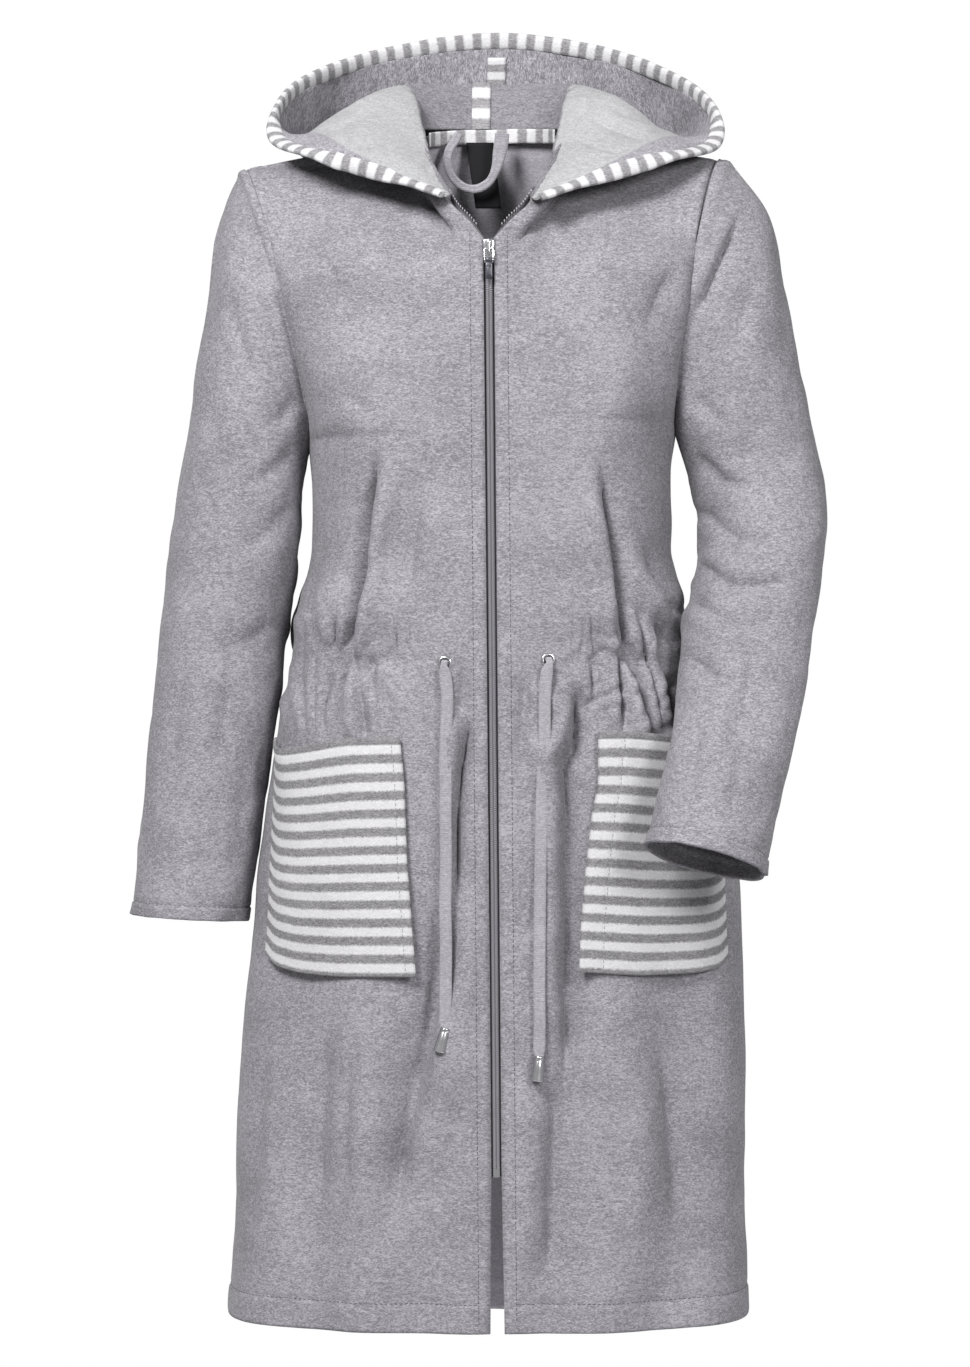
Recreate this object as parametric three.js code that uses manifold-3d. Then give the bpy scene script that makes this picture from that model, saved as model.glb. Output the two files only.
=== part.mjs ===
// Zip-front hooded bathrobe, held up at the centre of its back neck seam.
// Millimetres, +Z up, front of the robe towards -Y, +X to the right when facing the front.
// Left and right in the names are as seen from the front.
import * as THREE from 'three';
import { mergeVertices } from 'three/addons/utils/BufferGeometryUtils.js';
import Module from 'manifold-3d';

// ---------- driving dimensions ----------
const CLOTH = 3.2;            // towelling shell thickness
const POCKET_CLOTH = 3.0;
const HOOD_CLOTH = 3.0;
const RIM_WIDTH = 13;         // striped binding on the hood rim
const TAPE_WIDTH = 14;        // striped tape on the hood's centre seam
const ZIP_TAPE = 10.5;        // width of one zip tape
const ZIP_GAP = 4.4;          // half gap between the front panels' edges
const EYELET_OD = 11.6;
const EYELET_BORE = 6.6;
const WAIST_Z = -454;         // drawcord casing height
const CASING_HALF = 13;
const CORD_W = 9.4, CORD_T = 4.0;
const HEM_FRONT = -1007, HEM_SIDE = -1004, HEM_BACK = -1021;

// Elevation drawing: outlines are listed on a 0.85 mm grid as seen square on from
// 4 m away, and at() returns x and z for a listed point that lies at depth y.
const GRID = 0.85, EYE_X = -6, EYE_Z = -473, EYE_D = 4000, MID_H = 485, MID_V = 683.5;
const at = (h, v, y = 0) => {
  const k = GRID * (EYE_D + y) / EYE_D;
  return new THREE.Vector3(EYE_X + (h - MID_H) * k, y, EYE_Z - (v - MID_V) * k);
};
const zOf = (v, y = 0) => at(MID_H, v, y).z;

// ---------- small helpers ----------
const clamp = (t, a = 0, b = 1) => Math.min(b, Math.max(a, t));
const smooth = (t) => { t = clamp(t); return t * t * (3 - 2 * t); };
const lerp = (a, b, t) => a + (b - a) * t;
const V = (x, y, z) => new THREE.Vector3(x, y, z);
// table of [key, value], keys rising
const look = (tab, k) => {
  if (k <= tab[0][0]) return tab[0][1];
  for (let i = 1; i < tab.length; i++) {
    if (k <= tab[i][0]) {
      const [a, fa] = tab[i - 1], [b, fb] = tab[i];
      return lerp(fa, fb, (k - a) / (b - a));
    }
  }
  return tab[tab.length - 1][1];
};
const spline = (pts, t) => {          // Catmull-Rom through points, t in 0..1
  const n = pts.length - 1;
  const f = clamp(t) * n, i = Math.min(n - 1, Math.floor(f)), r = f - i;
  const p = [pts[Math.max(0, i - 1)], pts[i], pts[i + 1], pts[Math.min(n, i + 2)]];
  const c = (a, b, cc, d) => 0.5 * ((2 * b) + (-a + cc) * r + (2 * a - 5 * b + 4 * cc - d) * r * r + (-a + 3 * b - 3 * cc + d) * r * r * r);
  return V(c(p[0].x, p[1].x, p[2].x, p[3].x), c(p[0].y, p[1].y, p[2].y, p[3].y), c(p[0].z, p[1].z, p[2].z, p[3].z));
};
const facing = (g) => {                // turn the faces outward if the signed volume is negative
  const p = g.attributes.position, ix = g.index;
  let vol = 0;
  const a = V(), b = V(), c = V();
  for (let i = 0; i < ix.count; i += 3) {
    a.fromBufferAttribute(p, ix.getX(i)); b.fromBufferAttribute(p, ix.getX(i + 1)); c.fromBufferAttribute(p, ix.getX(i + 2));
    vol += a.dot(b.clone().cross(c));
  }
  if (vol < 0) {
    for (let i = 0; i < ix.count; i += 3) { const t = ix.getX(i); ix.setX(i, ix.getX(i + 1)); ix.setX(i + 1, t); }
  }
  g.deleteAttribute('normal'); g.deleteAttribute('uv');
  const m = mergeVertices(g, 1e-4);
  m.computeVertexNormals();
  return m;
};
// curved sheet of even thickness: f(u, v) is its middle surface
const sheet = (nu, nv, f, t, lift = 0) => {
  const g = new THREE.BoxGeometry(1, 1, 1, nu, nv, 1);
  const p = g.attributes.position;
  const e = 1e-3;
  for (let i = 0; i < p.count; i++) {
    const u = clamp(p.getX(i) + 0.5), v = clamp(0.5 - p.getY(i)), w = p.getZ(i);
    const u0 = Math.max(0, u - e), u1 = Math.min(1, u + e), v0 = Math.max(0, v - e), v1 = Math.min(1, v + e);
    const n = f(u1, v).sub(f(u0, v)).cross(f(u, v1).sub(f(u, v0))).normalize();
    const q = f(u, v).addScaledVector(n, w * t + lift);
    p.setXYZ(i, q.x, q.y, q.z);
  }
  return facing(g);
};
// solid strip: rows of [a, b] edge points, with a given thickness across them
const strip = (rows, t, ny = 1) => sheet(ny, rows.length - 1, (u, v) => {
  const f = v * (rows.length - 1), i = Math.min(rows.length - 2, Math.floor(f)), r = f - i;
  const a = rows[i][0].clone().lerp(rows[i + 1][0], r), b = rows[i][1].clone().lerp(rows[i + 1][1], r);
  return a.lerp(b, u);
}, t);
// round or flat cord along a list of points; side gives the direction of its width
const cord = (pts, w, h, sides, steps, side) => {
  const g = new THREE.CylinderGeometry(1, 1, 1, sides, steps);
  const p = g.attributes.position;
  for (let i = 0; i < p.count; i++) {
    const t = clamp(0.5 - p.getY(i)), sx = p.getX(i), sz = p.getZ(i);
    const c = spline(pts, t), d = spline(pts, Math.min(1, t + 1e-3)).sub(spline(pts, Math.max(0, t - 1e-3))).normalize();
    const a = (typeof side === 'function' ? side(t) : side.clone());
    a.addScaledVector(d, -a.dot(d)).normalize();
    const b = d.clone().cross(a);
    c.addScaledVector(a, sx * w / 2).addScaledVector(b, sz * h / 2);
    p.setXYZ(i, c.x, c.y, c.z);
  }
  return facing(g);
};
// open tube wall: ring(k, phi) is the outer skin, k in 0..1 along it
const tubeWall = (rings, sides, ring, t) => {
  const prof = [];
  for (let i = 0; i <= rings; i++) prof.push(new THREE.Vector2(2, i));
  for (let i = rings; i >= 0; i--) prof.push(new THREE.Vector2(1, i));
  prof.push(new THREE.Vector2(2, 0));
  const g = new THREE.LatheGeometry(prof, sides);
  const P = prof.length, p = g.attributes.position;
  for (let i = 0; i < p.count; i++) {
    const j = Math.floor(i / P) % sides, q = i % P, pr = prof[q];
    const k = pr.y / rings, phi = j / sides * Math.PI * 2;
    const c = ring(k, phi);
    if (pr.x === 1) {
      const e = 1e-3;
      const n = ring(k, phi + e).sub(ring(k, phi - e)).cross(ring(Math.min(1, k + e), phi).sub(ring(Math.max(0, k - e), phi))).normalize();
      const mid = ring(k, phi).add(ring(k, phi + Math.PI)).multiplyScalar(0.5).sub(c);
      if (n.dot(mid) < 0) n.negate();
      c.addScaledVector(n, t);
    }
    p.setXYZ(i, c.x, c.y, c.z);
  }
  return facing(g);
};

const group = new THREE.Group();
const add = (name, geometry, color, roughness = 0.95, metalness = 0, place = group) => {
  const m = new THREE.Mesh(geometry, new THREE.MeshStandardMaterial({ color, roughness, metalness }));
  m.name = name;
  place.add(m);
  return m;
};
const GREY = 0xa5a3a8, LINING = 0xcdcdcf, STRIPE = 0xc4c4ca, CORD = 0xb9b9bd, CHROME = 0xc8c9cc, DARK = 0x55565c, BLACK = 0x17171a;

const wasm = await Module();
wasm.setup();
const solid = (g) => {
  const m = g.clone();
  m.deleteAttribute('normal'); m.deleteAttribute('uv');
  const k = mergeVertices(m, 1e-4);
  return new wasm.Manifold(new wasm.Mesh({ numProp: 3, vertProperties: new Float32Array(k.attributes.position.array), triVerts: new Uint32Array(k.index.array) }));
};
const geometryOf = (man) => {
  const m = man.getMesh();
  const g = new THREE.BufferGeometry();
  const pos = new Float32Array(m.numVert * 3);
  for (let i = 0; i < m.numVert; i++) for (let j = 0; j < 3; j++) pos[i * 3 + j] = m.vertProperties[i * m.numProp + j];
  g.setAttribute('position', new THREE.BufferAttribute(pos, 3));
  g.setIndex(new THREE.BufferAttribute(new Uint32Array(m.triVerts), 1));
  g.computeVertexNormals();
  return g;
};

// ---------- zip line: straight, so the slider can run its whole length ----------
const ZIP_TOP = at(488.6, 238, -98), ZIP_END = at(496.5, 1172, -132);
const zipAt = (z) => ZIP_TOP.clone().lerp(ZIP_END, (ZIP_TOP.z - z) / (ZIP_TOP.z - ZIP_END.z));

// ---------- body ----------
// side outline [v, h]: armhole seam, then side seam
const EDGE_L = [[171, 245], [200, 263], [241, 271], [278, 282], [333, 297], [398, 308], [440, 313], [500, 315], [560, 313], [597, 304], [621, 297], [664, 293], [711, 285], [759, 276], [799, 271], [870, 263], [960, 255], [1050, 247], [1155, 239], [1245, 235], [1307, 230], [1330, 229]];
const EDGE_R = [[166, 710], [202, 705], [281, 705], [320, 693], [359, 682], [414, 673], [432, 670], [480, 669], [555, 670], [585, 677], [600, 681], [640, 685], [680, 690], [711, 696], [760, 709], [800, 719], [840, 727], [880, 733], [930, 735], [990, 736], [1050, 738], [1155, 738], [1215, 739], [1245, 742], [1275, 744], [1305, 747], [1330, 747]];
const toEdge = (tab) => tab.map(([v, h]) => { const p = at(h, v, 0); return [-p.z, p.x]; });
const edgeL = toEdge(EDGE_L), edgeR = toEdge(EDGE_R);
const BACK_Y = [[0, 58], [40, 75], [100, 97], [180, 108], [300, 102], [400, 88], [454, 80], [520, 96], [650, 116], [800, 120], [1022, 122]];

// sleeves: rings given by their outer and inner points on the elevation, the middle's depth and half depth
const SLEEVE_L = [
  [242, 170, 310, 440, 0, 58], [222, 222, 305, 462, 0, 61], [206, 328, 301, 503, 0, 60], [193, 411, 296, 556, 0, 58],
  [177, 510, 289, 612, 2, 57], [165, 604, 281, 675, 2, 56], [155, 705, 272, 742, 0, 55], [146, 800, 262, 806, -4, 54],
  [139, 863, 254, 868, -7, 53], [134, 914, 247, 920, -10, 52]];
const SLEEVE_R = [
  [722, 160, 675, 424, 0, 58], [766, 215, 681, 450, 0, 61], [783, 296, 690, 482, 0, 60], [799, 380, 697, 512, 0, 58],
  [815, 455, 701, 542, -8, 56], [826, 516, 697, 575, -28, 53], [820, 566, 688, 610, -48, 50], [810, 630, 683, 652, -68, 48],
  [800, 700, 677, 702, -98, 45], [787, 765, 670, 750, -131, 43], [773, 828, 657, 802, -149, 42], [764, 876, 646, 846, -165, 42]];
const ringsOf = (tab) => tab.map(([oh, ov, ih, iv, yc, hd]) => ({ O: at(oh, ov, yc), I: at(ih, iv, yc), hd }));
const ringL = ringsOf(SLEEVE_L), ringR = ringsOf(SLEEVE_R);
const sleeveRing = (rings, side) => (k, phi) => {
  const O = spline(rings.map((r) => r.O), k), I = spline(rings.map((r) => r.I), k);
  const hd = spline(rings.map((r) => V(r.hd, 0, 0)), k).x;
  const c = O.clone().add(I).multiplyScalar(0.5), a = O.clone().sub(c);
  const s = Math.sin(phi);
  c.addScaledVector(a, Math.cos(phi));
  c.y += hd * s;
  const first = smooth(1 - k * 5);
  c.x += -side * 9 * Math.abs(s) * first;            // armhole seam bows towards the body
  if (side > 0) c.z += -11 * s * smooth((k - 0.8) * 5); // raised front lip of the bent arm's cuff
  return c;
};
const armhole = (rings, side, z) => {
  const O = rings[0].O, I = rings[0].I, c = (O.z + I.z) / 2, r = (O.z - I.z) / 2;
  const q = clamp((z - c) / r, -1, 1), s = Math.sqrt(Math.max(0, 1 - q * q));
  return { x: (O.x + I.x) / 2 + (O.x - I.x) / 2 * q - side * 9 * s, y: rings[0].hd * s, on: z > I.z };
};
const sideAt = (side, z, back) => {
  const tab = side < 0 ? edgeL : edgeR, rings = side < 0 ? ringL : ringR;
  const arm = armhole(rings, side, z);
  const zi = rings[0].I.z;
  if (z > zi) {
    return { x: arm.x - side * 5, y: (back ? 1 : -1) * (arm.y + 2.6) };
  }
  const t = smooth((zi - z) / 40);
  return { x: lerp(arm.x - side * 5, look(tab, -z), t), y: (back ? 1 : -1) * 2.6 };
};
// neck and shoulder edges of the panels, left side; the right side is mirrored
const NECK_FRONT = [V(ZIP_TOP.x - ZIP_GAP, -98, ZIP_TOP.z), V(-20, -94, -88), V(-34, -86, -73), V(-46, -62, -52), V(-56, -34, -28), V(-62, -4, -9)];
const NECK_BACK = [V(0, 58, 0), V(-24, 54, 0), V(-44, 43, -2), V(-57, 24, -5), V(-62, 4, -9)];
const SHOULDER = { '-1': [-205, -38], 1: [188, -31] };   // outer ends of the shoulder seams
const UN = 0.3;
const topCurve = (side, back, u) => {
  const neck = back ? NECK_BACK : NECK_FRONT;
  let p;
  if (u < UN) p = spline(neck, u / UN);
  else {
    const t = (u - UN) / (1 - UN), a = neck[neck.length - 1];
    p = V(lerp(a.x, -Math.abs(SHOULDER[side][0]), t), lerp(a.y, back ? 3.4 : -3.4, t), lerp(a.z, SHOULDER[side][1], Math.pow(t, 1.15)));
  }
  if (side > 0) {
    p.x = -p.x;
    if (!back && u < UN) p.x += lerp(2 * ZIP_TOP.x, 0, u / UN);
  }
  return p;
};
const A = 0.84, FALL = 120;
const surface = (side, back, u, z) => {
  const s = sideAt(side, z, back);
  let xc, yc;
  if (back) { xc = 0; yc = look(BACK_Y, -z); } else { const q = zipAt(z); xc = q.x + side * ZIP_GAP; yc = q.y; }
  const c = Math.cos(u * Math.PI / 2), sn = Math.sin(u * Math.PI / 2);
  const p = V(xc + (s.x - xc) * Math.pow(sn, A), s.y + (yc - s.y) * Math.pow(Math.max(0, c), A), z);
  if (!back) {
    const g = Math.exp(-Math.pow((u - 0.42) / 0.2, 2));
    p.y += -15 * g * Math.exp(-Math.pow((z + 255) / 80, 2)) + 9 * g * Math.exp(-Math.pow((z - WAIST_Z) / 60, 2));
    if (z < ZIP_END.z) {             // front slit opens downwards
      const t = (ZIP_END.z - z) / (ZIP_END.z - HEM_FRONT);
      p.x += side * (0.5 + 4.5 * t) * (1 - sn) - 2.5 * t * (1 - sn);
    }
  }
  return p;
};
const hemZ = (back, u) => lerp(back ? HEM_BACK : HEM_FRONT, HEM_SIDE, u * u);
const panelPoint = (side, back) => (u, v) => {
  const T = topCurve(side, back, u), zh = hemZ(back, u);
  const z = lerp(T.z, zh, v);
  const p = surface(side, back, u, z), q = surface(side, back, u, T.z);
  const f = 1 - smooth((T.z - z) / FALL);
  p.x += (T.x - q.x) * f; p.y += (T.y - q.y) * f;
  return p;
};
const rowsAt = (v) => Math.pow(v, 1.35);    // rows closer together near the shoulders
const frontL = panelPoint(-1, false), frontR = panelPoint(1, false), backL = panelPoint(-1, true), backR = panelPoint(1, true);
const backPoint = (u, v) => (u < 0.5 ? backL(1 - 2 * u, v) : backR(2 * u - 1, v));

// a point of the body skin at height z, with its outward normal
const onPanel = (side, back, u, z) => {
  const f = panelPoint(side, back), T = topCurve(side, back, u), zh = hemZ(back, u);
  const v = (T.z - z) / (T.z - zh);
  const p = f(u, v), e = 1e-3;
  const n = f(Math.min(1, u + e), v).sub(f(Math.max(0, u - e), v)).cross(f(u, Math.min(1, v + e)).sub(f(u, v - e))).normalize();
  if ((back ? n.y : -n.y) < 0) n.negate();
  return { p, n };
};
const uForX = (side, x, z) => { let a = 0, b = 1; for (let i = 0; i < 40; i++) { const m = (a + b) / 2; if ((onPanel(side, false, m, z).p.x - x) * side > 0) b = m; else a = m; } return a; };

// eyelets on the waistline
const EYES = [['left', -1, at(445, 663, -112)], ['right', 1, at(548, 660, -112)]].map(([name, side, e]) => {
  const z = e.z, u = uForX(side, e.x, z), { p, n } = onPanel(side, false, u, z);
  return { name, side, u, z, p, n };
});
const turned = (g, p, n) => { g.applyQuaternion(new THREE.Quaternion().setFromUnitVectors(V(0, 1, 0), n)); g.translate(p.x, p.y, p.z); return g; };
const ringLathe = (profile, seg = 20) => facing(new THREE.LatheGeometry(profile.map(([r, y]) => new THREE.Vector2(r, y)).concat([new THREE.Vector2(...profile[0])]), seg));

add('back_panel', sheet(14, 17, (u, v) => backPoint(u, rowsAt(v)), CLOTH), GREY);
for (const [name, f, eye] of [['left', frontL, EYES[0]], ['right', frontR, EYES[1]]]) {
  const body = solid(sheet(8, 18, (u, v) => f(u, rowsAt(v)), CLOTH));
  const drill = solid(turned(facing(new THREE.CylinderGeometry(4.4, 4.4, 12, 16)), eye.p, eye.n));
  add(`front_panel_${name}`, geometryOf(body.subtract(drill)), GREY);
}
for (const eye of EYES) {
  const h = CLOTH / 2;
  add(`eyelet_${eye.name}`, turned(ringLathe([[EYELET_BORE / 2, h + 1.5], [EYELET_BORE / 2, -h - 1.9], [EYELET_BORE / 2 + 0.7, -h - 1.9], [EYELET_BORE / 2 + 0.7, h + 0.5], [EYELET_OD / 2, h + 0.5], [EYELET_OD / 2 - 0.7, h + 1.5]]), eye.p, eye.n), CHROME, 0.25, 1);
  add(`eyelet_washer_${eye.name}`, turned(ringLathe([[EYELET_BORE / 2 + 1.1, -h - 0.9], [EYELET_BORE / 2 + 1.1, -h - 1.7], [EYELET_OD / 2, -h - 1.7], [EYELET_OD / 2, -h - 0.9]]), eye.p, eye.n), CHROME, 0.3, 1);
}

add('sleeve_left', tubeWall(9, 16, sleeveRing(ringL, -1), CLOTH), GREY);
add('sleeve_right', tubeWall(11, 16, sleeveRing(ringR, 1), CLOTH), GREY);

// ---------- patch pockets, open at the top ----------
const POCKETS = [['left', -1, 406, 414, 744, 976], ['right', 1, 596, 580, 742, 972]];
const pocketAt = (side, hTop, hBot, vTop, vBot) => (u, v) => {
  const zt = zOf(vTop, -112), zb = zOf(vBot, -118);
  const z = lerp(zt, zb, v);
  const xi = at(lerp(hTop, hBot, v), MID_V, -118).x;
  const ui = uForX(side, xi, z);
  const uu = lerp(ui, 0.93, u);
  const { p, n } = onPanel(side, false, uu, z);
  const puff = Math.sin(Math.PI * Math.pow(clamp(u), side < 0 ? 1 : 0.75)) ** 0.6 * (1 - Math.pow(v, 5)) * (0.55 + 0.45 * (1 - v));
  return p.addScaledVector(n, CLOTH / 2 + 0.7 + POCKET_CLOTH / 2 + (side < 0 ? 14 : 12) * puff);
};
for (const [name, side, a, b, c, d] of POCKETS) add(`pocket_${name}`, sheet(8, 7, pocketAt(side, a, b, c, d), POCKET_CLOTH), STRIPE);

// ---------- waist casing and the drawcord inside it ----------
const waist = (off, z, uStart = EYES[0].u) => {
  const pts = [];
  const push = (side, back, u) => { const { p, n } = onPanel(side, back, u, z); pts.push(p.addScaledVector(n, off)); };
  for (let i = 0; i <= 9; i++) push(-1, false, lerp(uStart, 0.95, i / 9));
  for (let i = 0; i <= 9; i++) push(-1, true, lerp(0.95, 0, i / 9));
  for (let i = 1; i <= 9; i++) push(1, true, lerp(0, 0.95, i / 9));
  for (let i = 0; i <= 9; i++) push(1, false, lerp(0.95, uStart, i / 9));
  return pts;
};
{
  const top = waist(-12, WAIST_Z + CASING_HALF, 0.12), low = waist(-12, WAIST_Z - CASING_HALF, 0.12);
  add('waist_casing', strip(top.map((p, i) => [p, low[i]]), 1.4), GREY);
  const run = waist(-5.6, EYES[0].z, EYES[0].u + 0.07);
  add('drawcord_inner_run', cord(run, 3.6, 4.6, 8, 34, V(0, 0, 1)), CORD);
}

// ---------- hood ----------
// rows round the neck from the left front end (0) over the back (7) to the right front end (14);
// stations from the neck seam up and over into the folded pouch and out to the rim
const hoodL = [
  [V(-35, -86, -67), at(449, 196, -93), at(446, 196, -96), at(443, 196, -98), at(440, 195, -99), at(438, 194, -100), at(436, 193, -100)],
  [V(-44, -68, -49), at(439, 183, -78), at(432, 184, -84), at(424, 184, -86), at(416, 184, -86), at(408, 182, -85), at(400, 180, -84)],
  [V(-58, -36, -22), at(429, 160, -48), at(405, 156, -60), at(384, 157, -66), at(360, 159, -66), at(338, 159, -62), at(318, 156, -54)],
  [V(-64, 2, -3), at(420, 126, -6), at(380, 122, -14), at(345, 128, -20), at(318, 137, -20), at(292, 142, -16), at(271, 139, -8)],
  [V(-60, 28, 1), at(413, 98, 28), at(372, 96, 26), at(330, 122, 26), at(300, 142, 32), at(278, 126, 36), at(277, 104, 36)],
  [V(-47, 45, 3), at(408, 83, 50), at(395, 86, 64), V(-112, 84, 6), V(-132, 112, -38), V(-158, 112, 0), at(306, 75, 84)],
  [V(-26, 55, 4), at(440, 84, 66), at(438, 89, 84), V(-62, 112, -40), V(-84, 146, -112), V(-104, 160, -26), at(385, 48, 132)]];
const hoodC = [V(0, 59, 4), at(492, 85, 72), at(492, 90, 88), V(0, 122, -52), V(0, 152, -146), V(0, 172, -36), at(497, 33, 150)];
const hoodR = [
  [V(33, -86, -70), at(533, 199, -93), at(536, 199, -96), at(539, 198, -98), at(542, 198, -99), at(544, 197, -100), at(547, 196, -100)],
  [V(43, -68, -49), at(541, 186, -78), at(549, 187, -84), at(558, 187, -86), at(567, 186, -86), at(576, 184, -85), at(585, 182, -84)],
  [V(58, -36, -22), at(552, 162, -48), at(576, 158, -60), at(598, 159, -66), at(622, 160, -66), at(645, 160, -62), at(668, 158, -54)],
  [V(64, 2, -3), at(561, 126, -6), at(600, 124, -14), at(636, 130, -20), at(668, 140, -20), at(698, 146, -16), at(719, 144, -8)],
  [V(60, 28, 1), at(567, 98, 28), at(608, 96, 26), at(652, 122, 26), at(684, 144, 32), at(710, 128, 36), at(715, 106, 36)],
  [V(47, 45, 3), at(571, 83, 50), at(585, 86, 64), V(112, 84, 6), V(132, 112, -38), V(158, 112, 0), at(680, 76, 84)],
  [V(26, 55, 4), at(541, 84, 66), at(543, 89, 84), V(62, 112, -40), V(84, 146, -112), V(104, 160, -26), at(604, 47, 132)]];
const hoodNet = [...hoodL, hoodC, ...hoodR.slice().reverse()];
const hoodPoint = (T, s) => spline(hoodNet.map((row) => spline(row, s)), T / 14);
const hoodLen = (T) => { let l = 0, a = hoodPoint(T, 0); for (let i = 1; i <= 24; i++) { const b = hoodPoint(T, i / 24); l += b.distanceTo(a); a = b; } return l; };
const rimStart = (T) => { // station where the panel stops and the binding begins
  const want = Math.min(RIM_WIDTH, hoodLen(T) * 0.6);
  let l = 0, b = hoodPoint(T, 1);
  for (let i = 1; i <= 200; i++) { const a = hoodPoint(T, 1 - i / 200); l += a.distanceTo(b); b = a; if (l >= want) return 1 - i / 200; }
  return 0.4;
};
const rimTab = []; for (let i = 0; i <= 56; i++) rimTab.push([i / 4, rimStart(i / 4)]);
const rimAt = (T) => look(rimTab, T);
add('hood_panel_left', sheet(11, 12, (u, v) => { const T = lerp(0, 6.97, u); return hoodPoint(T, lerp(0, rimAt(T) - 5 * Math.exp(-Math.pow((Math.abs(T - 7) - 5.3) / 1.1, 2)) / hoodLen(T), v)); }, HOOD_CLOTH), GREY);
add('hood_panel_right', sheet(11, 12, (u, v) => { const T = lerp(7.03, 14, u); return hoodPoint(T, lerp(0, rimAt(T) - 5 * Math.exp(-Math.pow((Math.abs(T - 7) - 5.3) / 1.1, 2)) / hoodLen(T), v)); }, HOOD_CLOTH), GREY);
add('hood_rim_binding', sheet(44, 1, (u, v) => { const T = u * 14; const r = rimAt(T); return hoodPoint(T, lerp(r + (2.6 + 3.4 * Math.exp(-Math.pow((Math.abs(T - 7) - 5.6) / 0.9, 2))) / hoodLen(T), 1, v)); }, 3.4), STRIPE);
for (const [name, s0, s1] of [['lower', 0.05, 0.6], ['upper', 0.73, rimAt(7) - 0.012]]) {   // two lengths that meet at the fold in the pouch
  const half = TAPE_WIDTH / 2, rows = [];
  for (let i = 0; i <= 12; i++) {
    const s = lerp(s0, s1, i / 12), p = hoodPoint(7, s);
    const d = hoodPoint(7, s + 1e-3).sub(hoodPoint(7, s - 1e-3)).normalize();
    const n = V(1, 0, 0).cross(d).normalize();      // towards the inside of the hood
    p.addScaledVector(n, HOOD_CLOTH / 2 + 3.2);
    rows.push([p.clone().add(V(-half, 0, 0)), p.clone().add(V(half, 0, 0))]);
  }
  add(`hood_centre_tape_${name}`, strip(rows, 1.2), STRIPE);
}

// ---------- back neck: tape, label, hanger loop ----------
{
  const rows = [];
  for (let i = 0; i <= 16; i++) {
    const u = lerp(-1, 1, i / 16), a = Math.abs(u);
    const p = spline(NECK_BACK, a * 0.78);
    if (u > 0) p.x = -p.x;
    const inward = V(-p.x * 0.6, -60, 0).normalize();
    p.addScaledVector(inward, 5.6 + 3.6 * a * a);
    rows.push([V(p.x, p.y, p.z - 8.6 + 1.5 * u), V(p.x, p.y, p.z + 3.4 + 1.5 * u)]);
  }
  add('neck_tape', strip(rows, 1.2), STRIPE);
}
const LOOP_Y = 33.4, LOOP_Z = -8;
{
  const x0 = at(448.5, 150, 50).x, x1 = at(504.5, 150, 50).x, zb = zOf(190.5, 50), r = 9;
  const pts = [V(x0, LOOP_Y, LOOP_Z), V(x0, LOOP_Y, lerp(LOOP_Z, zb, 0.35)), V(x0 + 0.5, LOOP_Y, zb + r + 5), V(x0 + 3.5, LOOP_Y, zb + 3.2), V(x0 + r + 4, LOOP_Y, zb),
    V((x0 + x1) / 2, LOOP_Y, zb), V(x1 - r - 4, LOOP_Y, zb), V(x1 - 3.5, LOOP_Y, zb + 3.2), V(x1 - 0.5, LOOP_Y, zb + r + 5), V(x1, LOOP_Y, lerp(LOOP_Z, zb, 0.35)), V(x1, LOOP_Y, LOOP_Z)];
  add('hanger_loop', cord(pts, 7.6, 3.2, 8, 34, (t) => V(Math.cos(t * Math.PI), 0, -Math.sin(t * Math.PI))), GREY);
  const a = at(467, 145, 50), b = at(493, 145, 50), c = at(476, 208, 50), d = at(500, 208, 50);
  const yl = 48;
  add('neck_label', strip([[V(a.x, yl, a.z), V(b.x, yl, b.z)], [V(c.x, yl, c.z), V(d.x, yl, d.z)]], 0.7), BLACK, 0.7);
}

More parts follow.
